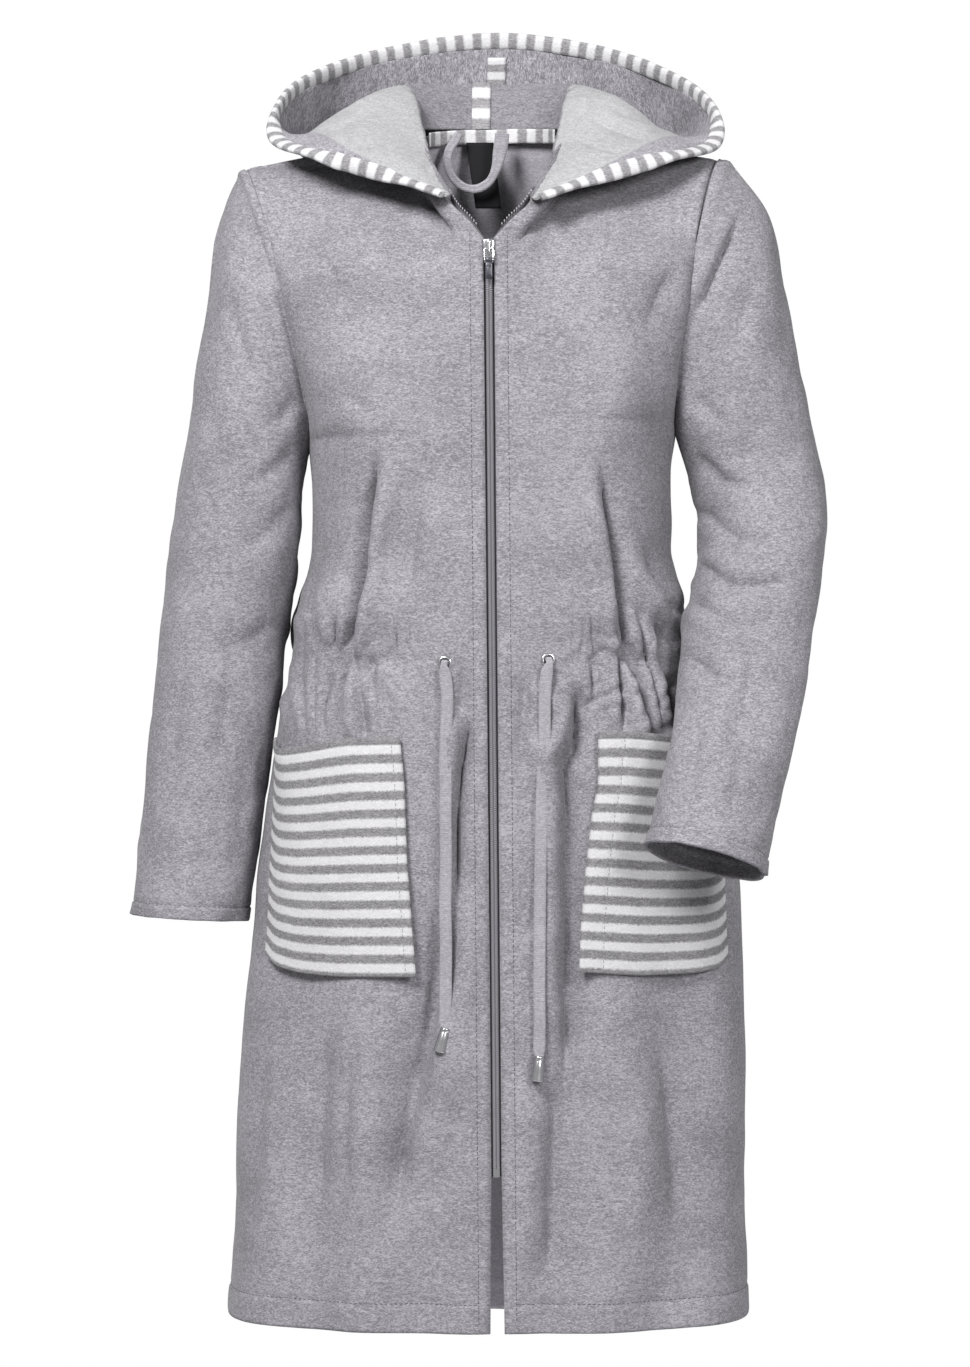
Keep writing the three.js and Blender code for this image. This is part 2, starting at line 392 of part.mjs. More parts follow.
// ---------- zip ----------
const D = ZIP_END.clone().sub(ZIP_TOP).normalize();
const EX = V(1, 0, 0).addScaledVector(D, -D.x).normalize();
const EN = D.clone().cross(EX).normalize(); if (EN.y > 0) EN.negate();
const zp = (x, n, along) => ZIP_TOP.clone().addScaledVector(D, along).addScaledVector(EX, x).addScaledVector(EN, n);
const ZIP_LEN = ZIP_TOP.distanceTo(ZIP_END);
for (const [name, s] of [['left', -1], ['right', 1]]) {
  const skin = s < 0 ? frontL : frontR;
  const vrow = (f, a, b, back) => {      // rows along the open neckline edge, behind the panel
    const u = 0.03 + UN * 0.37 * f, e = skin(u, 0), low = skin(u, 0.009), e2 = skin(u + 1e-3, 0);
    const down = low.clone().sub(e).normalize(), n = down.clone().cross(e2.clone().sub(e)).normalize();
    if (n.y < 0) n.negate();
    const across = down.negate();
    return [e.clone().addScaledVector(across, a).addScaledVector(n, back), e.clone().addScaledVector(across, b).addScaledVector(n, back)];
  };
  add(`zip_tape_${name}`, strip([[zp(s * 2.9, -2.9, ZIP_LEN + 4), zp(s * (2.9 + ZIP_TAPE), -2.9, ZIP_LEN + 4)], [zp(s * 2.9, -3.0, 210), zp(s * (2.9 + ZIP_TAPE), -3.0, 210)], [zp(s * 2.9, -3.5, 110), zp(s * 8, -3.5, 110)], [zp(s * 2.9, -3.6, 1), zp(s * 5.6, -3.8, 1)],
    vrow(0.25, 2.2, -2.5, 4.4), vrow(1, 2.2, -4, 4.4)], 0.8), DARK);
  add(`zip_coil_${name}`, strip([[zp(s * 0.5, -2.7, ZIP_LEN - 6), zp(s * 2.5, -2.7, ZIP_LEN - 6)], [zp(s * 0.5, -2.8, 1), zp(s * 2.5, -2.8, 1)],
    vrow(0.25, 5.0, 3.2, 3.3), vrow(0.97, 5.0, 3.2, 3.4)], 1.9), 0x8a8a90, 0.6);
  const stop = vrow(1.0, 5.0, 3.2, 3.4), stop2 = vrow(1.08, 5.0, 3.2, 3.4);
  add(`zip_top_stop_${name}`, strip([stop, stop2], 2.2), CHROME, 0.3, 1);
}
const framed = (g, x, n, along) => {
  const m = new THREE.Matrix4().makeBasis(EX, EN, D);
  g.applyMatrix4(m); const o = zp(x, n, along); g.translate(o.x, o.y, o.z); return facing(g);
};
add('zip_bottom_stop', framed(new THREE.BoxGeometry(5.4, 4.2, 9), 0, -2.6, ZIP_LEN), CHROME, 0.35, 1);
// slider body: two plates round the chain, joined by a thin web between the coils, with a bridge for the puller
const SL = 11;                  // distance of the slider's middle below the top of the chain
const part = (w, t, l, x, n, along) => solid(framed(new THREE.BoxGeometry(w, t, l), x, n, along));
let slider = part(10.6, 1.5, 21, 0, 2.95, SL)
  .add(part(9.4, 1.2, 18, 0, -4.9, SL))
  .add(part(0.42, 8.2, 7, 0, -1.0, SL - 5))
  .add(part(2.4, 5.2, 2.2, 0, 5.8, SL - 8.4))
  .add(part(2.4, 5.2, 2.2, 0, 5.8, SL + 2.4))
  .add(part(2.4, 1.3, 13, 0, 8.3, SL - 3));
add('zip_slider_body', geometryOf(slider), CHROME, 0.2, 1);
const PIN = { n: 6.0, along: SL - 1.2 };   // puller link's top bar, the puller's hinge line
const flat = (g) => { const p = g.attributes.position; if (!g.index) g.setIndex([...Array(p.count).keys()]); return g; };
const placeLink = (g) => { flat(g); const m = new THREE.Matrix4().makeBasis(EX, EN, D); g.applyMatrix4(m); const o = zp(0, PIN.n, PIN.along); g.translate(o.x, o.y, o.z); return facing(g); };
const link = part(9.2, 1.3, 10.1, 0, PIN.n, PIN.along + 4.35).subtract(part(6.6, 3, 7.3, 0, PIN.n, PIN.along + 4.35));
add('zip_puller_link', geometryOf(link), CHROME, 0.2, 1);
{
  // tab: a flat plate whose top end is rolled round the link's lower bar
  const prof = new THREE.Shape();
  const R = 1.9;
  prof.moveTo(-0.75, 25.5); prof.lineTo(-0.75, 8.7 + Math.sqrt(R * R - 0.5625));
  for (let i = 0; i <= 14; i++) { const a = Math.PI / 2 + 0.405 + (Math.PI * 2 - 0.81) * i / 14; prof.lineTo(R * Math.cos(a), 8.7 + R * Math.sin(a)); }
  prof.lineTo(0.75, 25.5); prof.closePath();
  const hole = new THREE.Path(); for (let i = 0; i < 12; i++) { const a = -Math.PI * 2 * i / 12; const q = new THREE.Vector2(1.25 * Math.cos(a), 8.7 + 1.25 * Math.sin(a)); if (i === 0) hole.moveTo(q.x, q.y); else hole.lineTo(q.x, q.y); } hole.closePath();
  prof.holes.push(hole);
  const g = new THREE.ExtrudeGeometry(prof, { depth: 6.2, bevelEnabled: false, steps: 1 });
  // profile x -> across the tab's thickness, profile y -> down, extrusion -> width
  const p = g.attributes.position;
  for (let i = 0; i < p.count; i++) { const a = p.getX(i), b = p.getY(i), c = p.getZ(i); p.setXYZ(i, c - 3.1, a, b); }
  add('zip_puller_tab', placeLink(g), DARK, 0.45, 0.3);
}

// ---------- free drawcords and their metal tips ----------
const CORDS = [
  ['left', EYES[0], [[445.5, 676], [447.5, 700], [445.5, 737], [445, 773], [446, 822], [446, 880], [446, 950], [446, 1029]], [439.5, 1051]],
  ['right', EYES[1], [[547, 673], [544.5, 700], [545, 737], [542.5, 773], [541, 822], [540, 900], [539.5, 980], [539, 1057]], [537, 1080]]];
const skinY = (side, x, z) => { const u = uForX(side, x, z); return onPanel(side, false, u, z); };
for (const [name, eye, route, tip] of CORDS) {
  const first = eye.p.clone().addScaledVector(eye.n, CLOTH / 2 + 3.4);
  const pts = [first, eye.p.clone().addScaledVector(eye.n, CLOTH / 2 + 6.2).add(V(0, 0, -3.5))];
  for (const [h, v] of route) {
    const q = at(h, v, -124);
    const s = skinY(eye.side, q.x, q.z);
    pts.push(V(q.x, s.p.y - CLOTH / 2 - 5.2, q.z));
  }
  add(`drawcord_${name}`, cord(pts, CORD_W, CORD_T, 8, 32, V(1, 0, 0)), CORD);
  const end = pts[pts.length - 1], q = at(tip[0], tip[1], -124), dir = V(q.x, end.y, q.z).sub(end).normalize();
  const L = end.distanceTo(V(q.x, end.y, q.z));
  const g = new THREE.LatheGeometry([new THREE.Vector2(0, 0), new THREE.Vector2(4.4, 0), new THREE.Vector2(5.0, 1.2), new THREE.Vector2(5.0, L * 0.55), new THREE.Vector2(3.6, L - 0.6), new THREE.Vector2(3.0, L), new THREE.Vector2(0, L)], 16);
  const m = facing(g);
  m.applyQuaternion(new THREE.Quaternion().setFromUnitVectors(V(0, 1, 0), dir));
  const o = end.clone().addScaledVector(dir, 1.3); m.translate(o.x, o.y, o.z);
  add(`cord_tip_${name}`, m, CHROME, 0.25, 1);
}

export default group;
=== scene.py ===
import bpy, math
import numpy as np
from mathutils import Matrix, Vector
from mathutils.bvhtree import BVHTree


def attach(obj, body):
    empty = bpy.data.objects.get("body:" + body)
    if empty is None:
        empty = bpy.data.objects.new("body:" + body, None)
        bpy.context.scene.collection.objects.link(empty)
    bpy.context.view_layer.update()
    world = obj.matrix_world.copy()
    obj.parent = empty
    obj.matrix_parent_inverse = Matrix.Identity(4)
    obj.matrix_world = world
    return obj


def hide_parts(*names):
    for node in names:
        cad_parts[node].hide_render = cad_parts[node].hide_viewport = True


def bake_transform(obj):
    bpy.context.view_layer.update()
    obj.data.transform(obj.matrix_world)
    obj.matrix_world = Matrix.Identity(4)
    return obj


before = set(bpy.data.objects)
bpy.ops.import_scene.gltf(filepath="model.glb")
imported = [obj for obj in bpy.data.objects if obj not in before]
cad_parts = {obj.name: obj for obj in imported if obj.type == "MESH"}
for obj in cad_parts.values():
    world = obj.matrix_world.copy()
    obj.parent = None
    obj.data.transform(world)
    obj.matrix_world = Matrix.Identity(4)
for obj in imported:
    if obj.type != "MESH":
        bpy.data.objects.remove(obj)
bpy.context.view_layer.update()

MM = 0.001
TAU = 2 * math.pi
# ------------------------------------------------------------------ elevation drawing, as in the CAD source
GRID, EYE_X, EYE_Z, EYE_D, MH, MV = 0.85, -6.0, -473.0, 4000.0, 485.0, 683.5


def at(h, v, y=0.0):
    k = GRID * (EYE_D + np.asarray(y, float)) / EYE_D
    return np.stack(np.broadcast_arrays(EYE_X + (h - MH) * k, y, EYE_Z - (v - MV) * k), axis=-1).astype(float)


def inv(p):
    k = GRID * (EYE_D + p[..., 1]) / EYE_D
    return MH + (p[..., 0] - EYE_X) / k, MV - (p[..., 2] - EYE_Z) / k


def zof(v, y=0.0):
    return at(MH, v, y)[..., 2]


# ------------------------------------------------------------------ camera first
scene = bpy.context.scene
cam_d = bpy.data.cameras.new("view")
cam = bpy.data.objects.new("view", cam_d)
scene.collection.objects.link(cam)
cam.location = (EYE_X * MM, -EYE_D * MM, EYE_Z * MM)
cam.rotation_euler = (math.pi / 2, 0, 0)
cam_d.sensor_fit = "VERTICAL"
cam_d.sensor_height = 36.0
cam_d.lens = 36.0 * EYE_D / (1367 * GRID)
cam_d.clip_start, cam_d.clip_end = 0.1, 50
scene.camera = cam


# ------------------------------------------------------------------ numbers
def smooth(t):
    t = np.clip(t, 0, 1)
    return t * t * (3 - 2 * t)


def lerp(a, b, t):
    return a + (b - a) * t


def gauss(x):
    return np.exp(-np.square(x))


def spline(pts, t):
    pts = np.asarray(pts, float)
    n = len(pts) - 1
    t = np.clip(t, 0, 1) * n
    i = np.minimum(n - 1, np.floor(t).astype(int))
    r = np.asarray(t - i)[..., None]
    p0, p1, p2, p3 = pts[np.maximum(0, i - 1)], pts[i], pts[i + 1], pts[np.minimum(n, i + 2)]
    return 0.5 * ((2 * p1) + (p2 - p0) * r + (2 * p0 - 5 * p1 + 4 * p2 - p3) * r ** 2 + (3 * p1 - p0 - 3 * p2 + p3) * r ** 3)


class Table:
    """smoothed table of x against a rising key"""

    def __init__(self, rows, soft=14.0):
        k = np.array([r[0] for r in rows], float)
        f = np.array([r[1] for r in rows], float)
        self.k = np.arange(k[0] - 60, k[-1] + 60, 2.0)
        raw = np.interp(self.k, k, f)
        if soft:
            g = np.exp(-0.5 * (np.arange(-30, 31) * 2.0 / soft) ** 2)
            g /= g.sum()
            raw = np.convolve(np.pad(raw, 30, mode="edge"), g, mode="valid")
        self.f = raw

    def __call__(self, x):
        return np.interp(x, self.k, self.f)


_grids = {}


def vnoise(x, y, seed=0):
    """smooth value noise, about -1..1, one cell per unit"""
    if seed not in _grids:
        _grids[seed] = np.random.default_rng(100 + seed).uniform(-1, 1, (97, 97))
    g = _grids[seed]
    xi, yi = np.floor(x).astype(int), np.floor(y).astype(int)
    fx, fy = smooth(x - xi), smooth(y - yi)
    a = g[xi % 97, yi % 97]; b = g[(xi + 1) % 97, yi % 97]
    c = g[xi % 97, (yi + 1) % 97]; d = g[(xi + 1) % 97, (yi + 1) % 97]
    return lerp(lerp(a, b, fx), lerp(c, d, fx), fy)


# ------------------------------------------------------------------ body outline
CLOTH, ZIP_GAP = 3.2, 4.4
WAIST_Z, HEM_FRONT, HEM_SIDE, HEM_BACK = -454.0, -1007.0, -1004.0, -1021.0
ZIP_TOP, ZIP_END = at(488.6, 238, -98), at(496.5, 1172, -132)


def zip_at(z):
    t = (ZIP_TOP[2] - z) / (ZIP_TOP[2] - ZIP_END[2])
    return ZIP_TOP[0] + (ZIP_END[0] - ZIP_TOP[0]) * t, ZIP_TOP[1] + (ZIP_END[1] - ZIP_TOP[1]) * t


EDGE_L = [[171, 245], [200, 263], [241, 271], [278, 282], [333, 297], [398, 308], [440, 313], [500, 315], [560, 313], [585, 306], [597, 303], [610, 305], [621, 297], [640, 296], [664, 293], [711, 285], [759, 276], [799, 271], [870, 263], [960, 255], [1050, 247], [1155, 239], [1245, 235], [1307, 230], [1330, 229]]
EDGE_R = [[166, 710], [202, 705], [281, 705], [320, 693], [359, 682], [414, 673], [432, 670], [480, 669], [555, 670], [585, 677], [600, 681], [640, 685], [680, 690], [711, 696], [760, 709], [800, 719], [840, 727], [880, 733], [930, 735], [990, 736], [1050, 738], [1155, 738], [1215, 739], [1245, 742], [1275, 744], [1305, 747], [1330, 747]]


def edge_table(rows):
    return Table([[-at(h, v)[2], at(h, v)[0]] for v, h in rows], 7.0)


edge = {-1: edge_table(EDGE_L), 1: edge_table(EDGE_R)}
BACK_Y = Table([[0, 58], [40, 75], [100, 97], [180, 108], [300, 102], [400, 88], [454, 80], [520, 96], [650, 116], [800, 120], [1022, 122]], 22)

SLEEVE = {
    -1: [[242, 170, 310, 440, 0, 58], [222, 222, 305, 462, 0, 61], [206, 328, 301, 503, 0, 60], [193, 411, 296, 556, 0, 58],
         [177, 510, 289, 612, 2, 57], [165, 604, 281, 675, 2, 56], [155, 705, 272, 742, 0, 55], [146, 800, 262, 806, -4, 54],
         [139, 863, 254, 868, -7, 53], [134, 914, 247, 920, -10, 52]],
    1: [[722, 160, 675, 424, 0, 58], [766, 215, 681, 450, 0, 61], [783, 296, 690, 482, 0, 60], [799, 380, 697, 512, 0, 58],
        [815, 455, 701, 542, -8, 56], [826, 516, 697, 575, -28, 53], [820, 566, 688, 610, -48, 50], [810, 630, 683, 652, -68, 48],
        [800, 700, 677, 702, -98, 45], [787, 765, 670, 750, -131, 43], [773, 828, 657, 802, -149, 42], [764, 876, 646, 846, -165, 42]]}
RING = {s: (np.array([at(r[0], r[1], r[4]) for r in SLEEVE[s]]), np.array([at(r[2], r[3], r[4]) for r in SLEEVE[s]]), np.array([[r[5]] for r in SLEEVE[s]], float)) for s in (-1, 1)}


def sleeve_point(side, k, phi):
    Os, Is, Hs = RING[side]
    O, I, hd = spline(Os, k), spline(Is, k), spline(Hs, k)[..., 0]
    c = (O + I) / 2
    s = np.sin(phi)
    p = c + (O - c) * np.cos(phi)[..., None]
    p[..., 1] += hd * s
    p[..., 0] += -side * 9 * np.abs(s) * smooth(1 - k * 5)
    if side > 0:
        p[..., 2] += -11 * s * smooth((k - 0.8) * 5)
    return p


def armhole(side, z):
    O, I, hd = RING[side][0][0], RING[side][1][0], RING[side][2][0, 0]
    c, r = (O[2] + I[2]) / 2, (O[2] - I[2]) / 2
    q = np.clip((z - c) / r, -1, 1)
    s = np.sqrt(np.maximum(0, 1 - q * q))
    return (O[0] + I[0]) / 2 + (O[0] - I[0]) / 2 * q - side * 9 * s, hd * s, I[2]


def side_at(side, z, back):
    ax, ay, zi = armhole(side, z)
    t = smooth((zi - z) / 40)
    sg = 1 if back else -1
    x = lerp(ax - side * 0.9, edge[side](-z), t)
    y = sg * lerp(ay, -0.9, t)
    return x, y


NECK_FRONT = np.array([[ZIP_TOP[0] - ZIP_GAP, -98, ZIP_TOP[2]], [-20, -94, -88], [-34, -86, -73], [-46, -62, -52], [-56, -34, -28], [-62, -4, -9]])
NECK_BACK = np.array([[0, 58, 0], [-24, 54, 0], [-44, 43, -2], [-57, 24, -5], [-62, 4, -9]])
SHOULDER = {-1: (-209.0, -36.5), 1: (192.0, -29.0)}
UN, APOW, FALL = 0.3, 0.84, 120.0


def top_curve(side, back, u):
    u = np.asarray(u, float)
    neck = NECK_BACK if back else NECK_FRONT
    p = spline(neck, np.clip(u / UN, 0, 1))
    t = np.clip((u - UN) / (1 - UN), 0, 1)
    a = neck[-1]
    q = np.stack([lerp(a[0], -abs(SHOULDER[side][0]), t), lerp(a[1], 0.5 if back else -0.5, t), lerp(a[2], SHOULDER[side][1], t ** 1.15)], -1)
    p = np.where((u < UN)[..., None], p, q)
    if side > 0:
        p[..., 0] = -p[..., 0]
        if not back:
            p[..., 0] += np.where(u < UN, lerp(2 * ZIP_TOP[0], 0, u / UN), 0)
    return p


def surface(side, back, u, z):
    sx, sy = side_at(side, z, back)
    if back:
        xc, yc = 0.0 * z, BACK_Y(-z)
    else:
        zx, yc = zip_at(z)
        xc = zx + side * ZIP_GAP
    c, sn = np.cos(u * math.pi / 2), np.sin(u * math.pi / 2)
    x = xc + (sx - xc) * np.abs(sn) ** APOW
    y = sy + (yc - sy) * np.maximum(0, c) ** APOW
    if back:
        x = x - side * 3.0 * smooth((0.0 - z - 300) / 100) * smooth((u - 0.8) / 0.2)
    else:
        g = gauss((u - 0.42) / 0.2)
        y = y - 15 * g * gauss((z + 255) / 80) + 9 * g * gauss((z - WAIST_Z) / 60)
        t = np.clip((ZIP_END[2] - z) / (ZIP_END[2] - HEM_FRONT), 0, 1)
        on = z < ZIP_END[2]
        x = x + np.where(on, side * 1.6 * t * (1 - sn) - 0.4 * t * (1 - sn), 0)
    return np.stack(np.broadcast_arrays(x, y, z), -1).astype(float)


def hem_z(back, u):
    return lerp(HEM_BACK if back else HEM_FRONT, HEM_SIDE, u * u)


def panel_z(side, back, u, z):
    T = top_curve(side, back, u)
    p = surface(side, back, u, z)
    q = surface(side, back, u, T[..., 2])
    f = 1 - smooth((T[..., 2] - z) / FALL)
    p[..., 0] += (T[..., 0] - q[..., 0]) * f
    p[..., 1] += (T[..., 1] - q[..., 1]) * f
    return p


# ------------------------------------------------------------------ folds drawn on the front elevation
def along(h, v, pts):
    """signed distance from a line of points and how far along it, 0..1"""
    pts = np.asarray(pts, float)
    best = np.full(h.shape, 1e9); sd = np.zeros(h.shape); run = np.zeros(h.shape)
    L = np.concatenate([[0], np.cumsum(np.hypot(*np.diff(pts, axis=0).T))])
    for i in range(len(pts) - 1):
        a, b = pts[i], pts[i + 1]
        d = b - a; n2 = d @ d
        t = np.clip(((h - a[0]) * d[0] + (v - a[1]) * d[1]) / n2, 0, 1)
        dx, dy = h - (a[0] + t * d[0]), v - (a[1] + t * d[1])
        dist = np.hypot(dx, dy)
        s = np.sign(dx * d[1] - dy * d[0]) * dist
        m = dist < best
        best = np.where(m, dist, best); sd = np.where(m, s, sd)
        run = np.where(m, (L[i] + t * math.sqrt(n2)) / L[-1], run)
    return best, sd, run


# line, half width, depth, which side carries the ridge (+1 right of a downward line), taper at start and end
FOLDS_FRONT = [
    ([(380, 425), (373, 480), (369, 505), (365.5, 565), (357.5, 620), (350, 656), (346, 677), (340, 701), (331, 742)], 7.0, 9.6, 1, 0.32, 0.30),
    ([(355, 652), (359, 670), (362.5, 707), (364, 750)], 5.8, 4.2, -1, 0.10, 0.3),
    ([(372, 645), (374, 668), (376, 710)], 5, 2.6, 1, 0.4, 0.5),
    ([(421, 460), (417, 520), (410, 570), (404, 615)], 11, 3.0, 1, 0.4, 0.4),
    ([(333, 640), (327, 690), (318, 745)], 6, 3.0, 1, 0.2, 0.5),
    ([(341, 600), (336, 630), (331, 660)], 5, 2.6, 1, 0.4, 0.2),
    ([(318, 560), (314, 600), (312, 650)], 6, 2.2, 1, 0.4, 0.3),
    ([(598, 440), (606.8, 505), (613.3, 552), (616, 597), (622.5, 641), (633, 672), (643.4, 707), (655, 748)], 6.0, 8.0, -1, 0.30, 0.10),
    ([(607, 615), (615, 647), (616, 668), (618.5, 691), (622.5, 738)], 3.6, 4.6, -1, 0.25, 0.25),
    ([(634, 590), (640, 640), (650, 675), (662, 735)], 5, 4.0, -1, 0.3, 0.2),
    ([(648, 600), (660, 640), (670, 680), (679, 735)], 9, 8.5, -1, 0.3, 0.15),
    ([(640, 530), (652, 570), (668, 600), (686, 625)], 8, 4.5, -1, 0.5, 0.2),
    ([(590, 640), (592, 680), (594, 720)], 4, 2.0, -1, 0.4, 0.5),
    ([(577, 680), (577, 720), (573, 770)], 9, 8.0, -1, 0.35, 0.3),
    ([(475, 700), (467, 735), (460, 773), (455.5, 822), (456, 930)], 6, 6.5, -1, 0.2, 0.4),
    ([(462, 655), (462, 690), (458, 740), (454, 810)], 7, 2.6, -1, 0.2, 0.5),
    ([(562, 730), (567, 800), (568, 900), (567, 1000), (566, 1120)], 10, 8.5, -1, 0.1, 0.35),
    ([(528, 670), (524, 720), (520, 790)], 8, 2.6, 1, 0.2, 0.5),
    ([(448, 890), (440, 980), (424, 1060), (403, 1150), (384, 1270)], 12, 7.5, 1, 0.3, 0.4),
    ([(352, 1010), (350, 1110), (346, 1260)], 14, 3.0, 1, 0.4, 0.5),
    ([(556, 1060), (552, 1170), (548, 1300)], 14, 5.6, -1, 0.3, 0.3),
    ([(330, 980), (322, 1100), (310, 1250)], 18, 3.6, 1, 0.4, 0.4),
    ([(268, 1000), (262, 1120), (254, 1260)], 12, 3.2, 1, 0.4, 0.4),
    ([(660, 1000), (672, 1110), (684, 1270)], 18, 3.6, -1, 0.4, 0.4),
    ([(610, 1060), (616, 1150), (622, 1270)], 14, 2.4, 1, 0.4, 0.4),
    # shoulders and chest
    ([(426, 196), (436, 211), (445, 223), (455, 238)], 5, 4.2, 1, 0.1, 0.5),
    ([(558, 199), (541, 215), (528, 229), (514, 246)], 5, 4.6, -1, 0.1, 0.5),
    ([(300, 235), (330, 268), (352, 320)], 14, 1.8, 1, 0.4, 0.5),
    ([(330, 385), (352, 400), (380, 425)], 12, 1.4, -1, 0.5, 0.5),
    ([(690, 250), (660, 290), (640, 350)], 14, 1.8, -1, 0.4, 0.5),
]


def folds(h, v, rows, deep=1.0):
    d = np.zeros(h.shape)
    for pts, w, depth, ridge, t0, t1 in rows:
        best, sd, run = along(h, v, pts)
        env = smooth(run / max(t0, 1e-3)) * smooth((1 - run) / max(t1, 1e-3)) if t0 + t1 > 0 else 1
        wob = 1 + 0.18 * vnoise(v / 23.0 + w, h / 40.0, 3)
        w = w * wob
        w = w * (1 + (0.7 * (1 - env) if t0 >= 0.29 else 0.0))
        ws = w * np.where(sd * ridge > 0, 0.8, 1.7)
        d += env * depth * deep * (-0.75 * gauss(sd / ws) - 0.55 * gauss(sd / (0.42 * ws)) + 0.6 * gauss((sd - ridge * 1.8 * w) / (1.4 * w)))
    return d


def front_relief(side, u, z, p):
    h, v = inv(p)
    d = folds(h, v, FOLDS_FRONT, 1.75)
    dist = np.abs(h - 492)
    # gathers held by the waist casing
    keep = smooth((dist - 58) / 45)
    arc = h * 0.83
    for lam, amp, sd in ((13.5, 0.8, 5), (23.0, 1.5, 6), (8.0, 0.45, 7)):
        ph = arc / lam + 1.3 * vnoise(h / 30.0, v / 45.0, sd)
        up = gauss((v - 640) / 34) * (v < 661) + gauss((v - 690) / 42) * (v >= 661)
        d += keep * amp * np.sin(TAU * ph) * up
    d += 0.5 * (1 - keep) * np.sin(h / 4.2 + 2 * vnoise(h / 30, v / 60, 8)) * gauss((v - 668) / 26)
    # fullness above and below the casing, and the pinch of the two casing seams
    d += keep * (5.0 * gauss((v - 612) / 30) + 2.6 * gauss((v - 705) / 26)) - (0.35 + 0.65 * keep) * (1.3 + 1.1 * vnoise(h / 17, h * 0, 14)) * gauss((v - 661 - 3 * vnoise(h / 26, h * 0, 15)) / 7)
    # big soft waves of the skirt and cloth life everywhere
    sk = smooth((v - 720) / 260)
    d += sk * 4.6 * np.sin(TAU * (h / 118.0 + 0.18 * vnoise(v / 240, h / 200, 9)) + 0.6)
    d += 1.3 * vnoise(h / 46, v / 62, 10) + 0.55 * vnoise(h / 19, v / 26, 11)
    # turned hem
    hz = hem_z(False, u)
    up = z - hz
    d += -0.9 * gauss((up - 24) / 1.6) + 0.7 * smooth((24 - up) / 3)
    d += 1.6 * smooth((40 - up) / 40) * vnoise(h / 16, v / 90, 12)
    # facing seam beside the zip, groove of the topstitching
    zx, _ = zip_at(z)
    off = np.abs(p[..., 0] - zx)
    d += -0.55 * gauss((off - 15.5) / 1.1) + 0.25 * gauss((off - 9) / 4.5)
    d *= smooth((off - 3.5) / 22) * 0.92 + 0.08
    d += -0.6 * gauss((off - 15.5) / 1.2)
    # seam allowance tucked at side and shoulder
    edge_mm = (1 - u) * 200
    d += -1.5 * gauss(edge_mm / 3.0)
    below_top = top_curve(side, False, u)[..., 2] - z
    d += -1.2 * gauss(below_top / 3.0) * (u > UN)
    # the cord in its casing holds the cloth out
    return np.maximum(d, -2.5 - 14 * smooth((np.abs(v - 661) - 7) / 36))


def back_relief(side, u, z, p):
    h, v = inv(p)
    x = p[..., 0]
    d = 0.0 * x
    for lam, amp, sd in ((15.0, 1.7, 25), (26.0, 2.2, 26), (9.5, 0.7, 27)):
        ph = (x + 3 * side * (1 - u)) / lam + 0.8 * vnoise(x / 40.0 + 9, z / 90.0, sd)
        up = gauss((z - WAIST_Z - 14) / 40) * (z > WAIST_Z) + gauss((z - WAIST_Z + 22) / 55) * (z <= WAIST_Z)
        d += amp * np.sin(TAU * ph) * up
    d += 5.5 * gauss((z - WAIST_Z - 45) / 34) + 3.5 * gauss((z - WAIST_Z + 50) / 34) - 3.2 * gauss((z - WAIST_Z) / 9)
    sk = smooth((WAIST_Z - 60 - z) / 240)
    d += sk * 4.2 * np.sin(TAU * (x / 112.0 + 0.22 * vnoise(z / 260, x / 200, 29)) + 1.1)
    d += 1.6 * vnoise(x / 52 + 5, z / 70, 30) + 0.6 * vnoise(x / 20, z / 27, 31)
    # folds that fall from the shoulder blades
    d += 2.0 * gauss((np.abs(x) - 95 + (z + 250) * 0.12) / 14) * gauss((z + 320) / 110)
    up = z - hem_z(True, u)
    d += -0.9 * gauss((up - 24) / 1.6) + 0.7 * smooth((24 - up) / 3) + 1.6 * smooth((40 - up) / 40) * vnoise(x / 16, z / 90, 32)
    d *= smooth((1 - u) * 230 / 34) * smooth((-z - 50) / 190)
    d += -1.2 * gauss((1 - u) * 200 / 3.0)
    return d


# ------------------------------------------------------------------ mesh building
def normals_of(P, wrap_u=False):
    if wrap_u:
        du = np.roll(P, -1, 1) - np.roll(P, 1, 1)
    else:
        du = np.gradient(P, axis=1)
    dv = np.gradient(P, axis=0)
    n = np.cross(du, dv)
    L = np.linalg.norm(n, axis=-1, keepdims=True)
    return n / np.maximum(L, 1e-9)


def make_mesh(name, verts, faces, attrs=None, mats=(), face_mat=None, smooth_shade=True):
    me = bpy.data.meshes.new(name)
    verts = np.asarray(verts, float) * MM
    faces = np.asarray(faces, int) if not isinstance(faces, list) else faces
    if isinstance(faces, np.ndarray):
        nf, k = faces.shape
        me.vertices.add(len(verts)); me.vertices.foreach_set("co", verts.ravel())
        me.loops.add(nf * k); me.loops.foreach_set("vertex_index", faces.ravel().astype(np.int32))
        me.polygons.add(nf)
        me.polygons.foreach_set("loop_start", np.arange(0, nf * k, k, dtype=np.int32))
        me.update(calc_edges=True)
    else:
        me.from_pydata(verts.tolist(), [], faces)
        nf = len(faces)
    for key, val in (attrs or {}).items():
        a = me.attributes.new(key, "FLOAT", "POINT")
        a.data.foreach_set("value", np.asarray(val, np.float32).ravel())
    for m in mats:
        me.materials.append(m)
    if face_mat is not None:
        me.polygons.foreach_set("material_index", np.asarray(face_mat, np.int32))
    if smooth_shade:
        me.polygons.foreach_set("use_smooth", np.ones(len(me.polygons), bool))
    me.validate()
    me.update()
    ob = bpy.data.objects.new(name, me)
    scene.collection.objects.link(ob)
    return ob


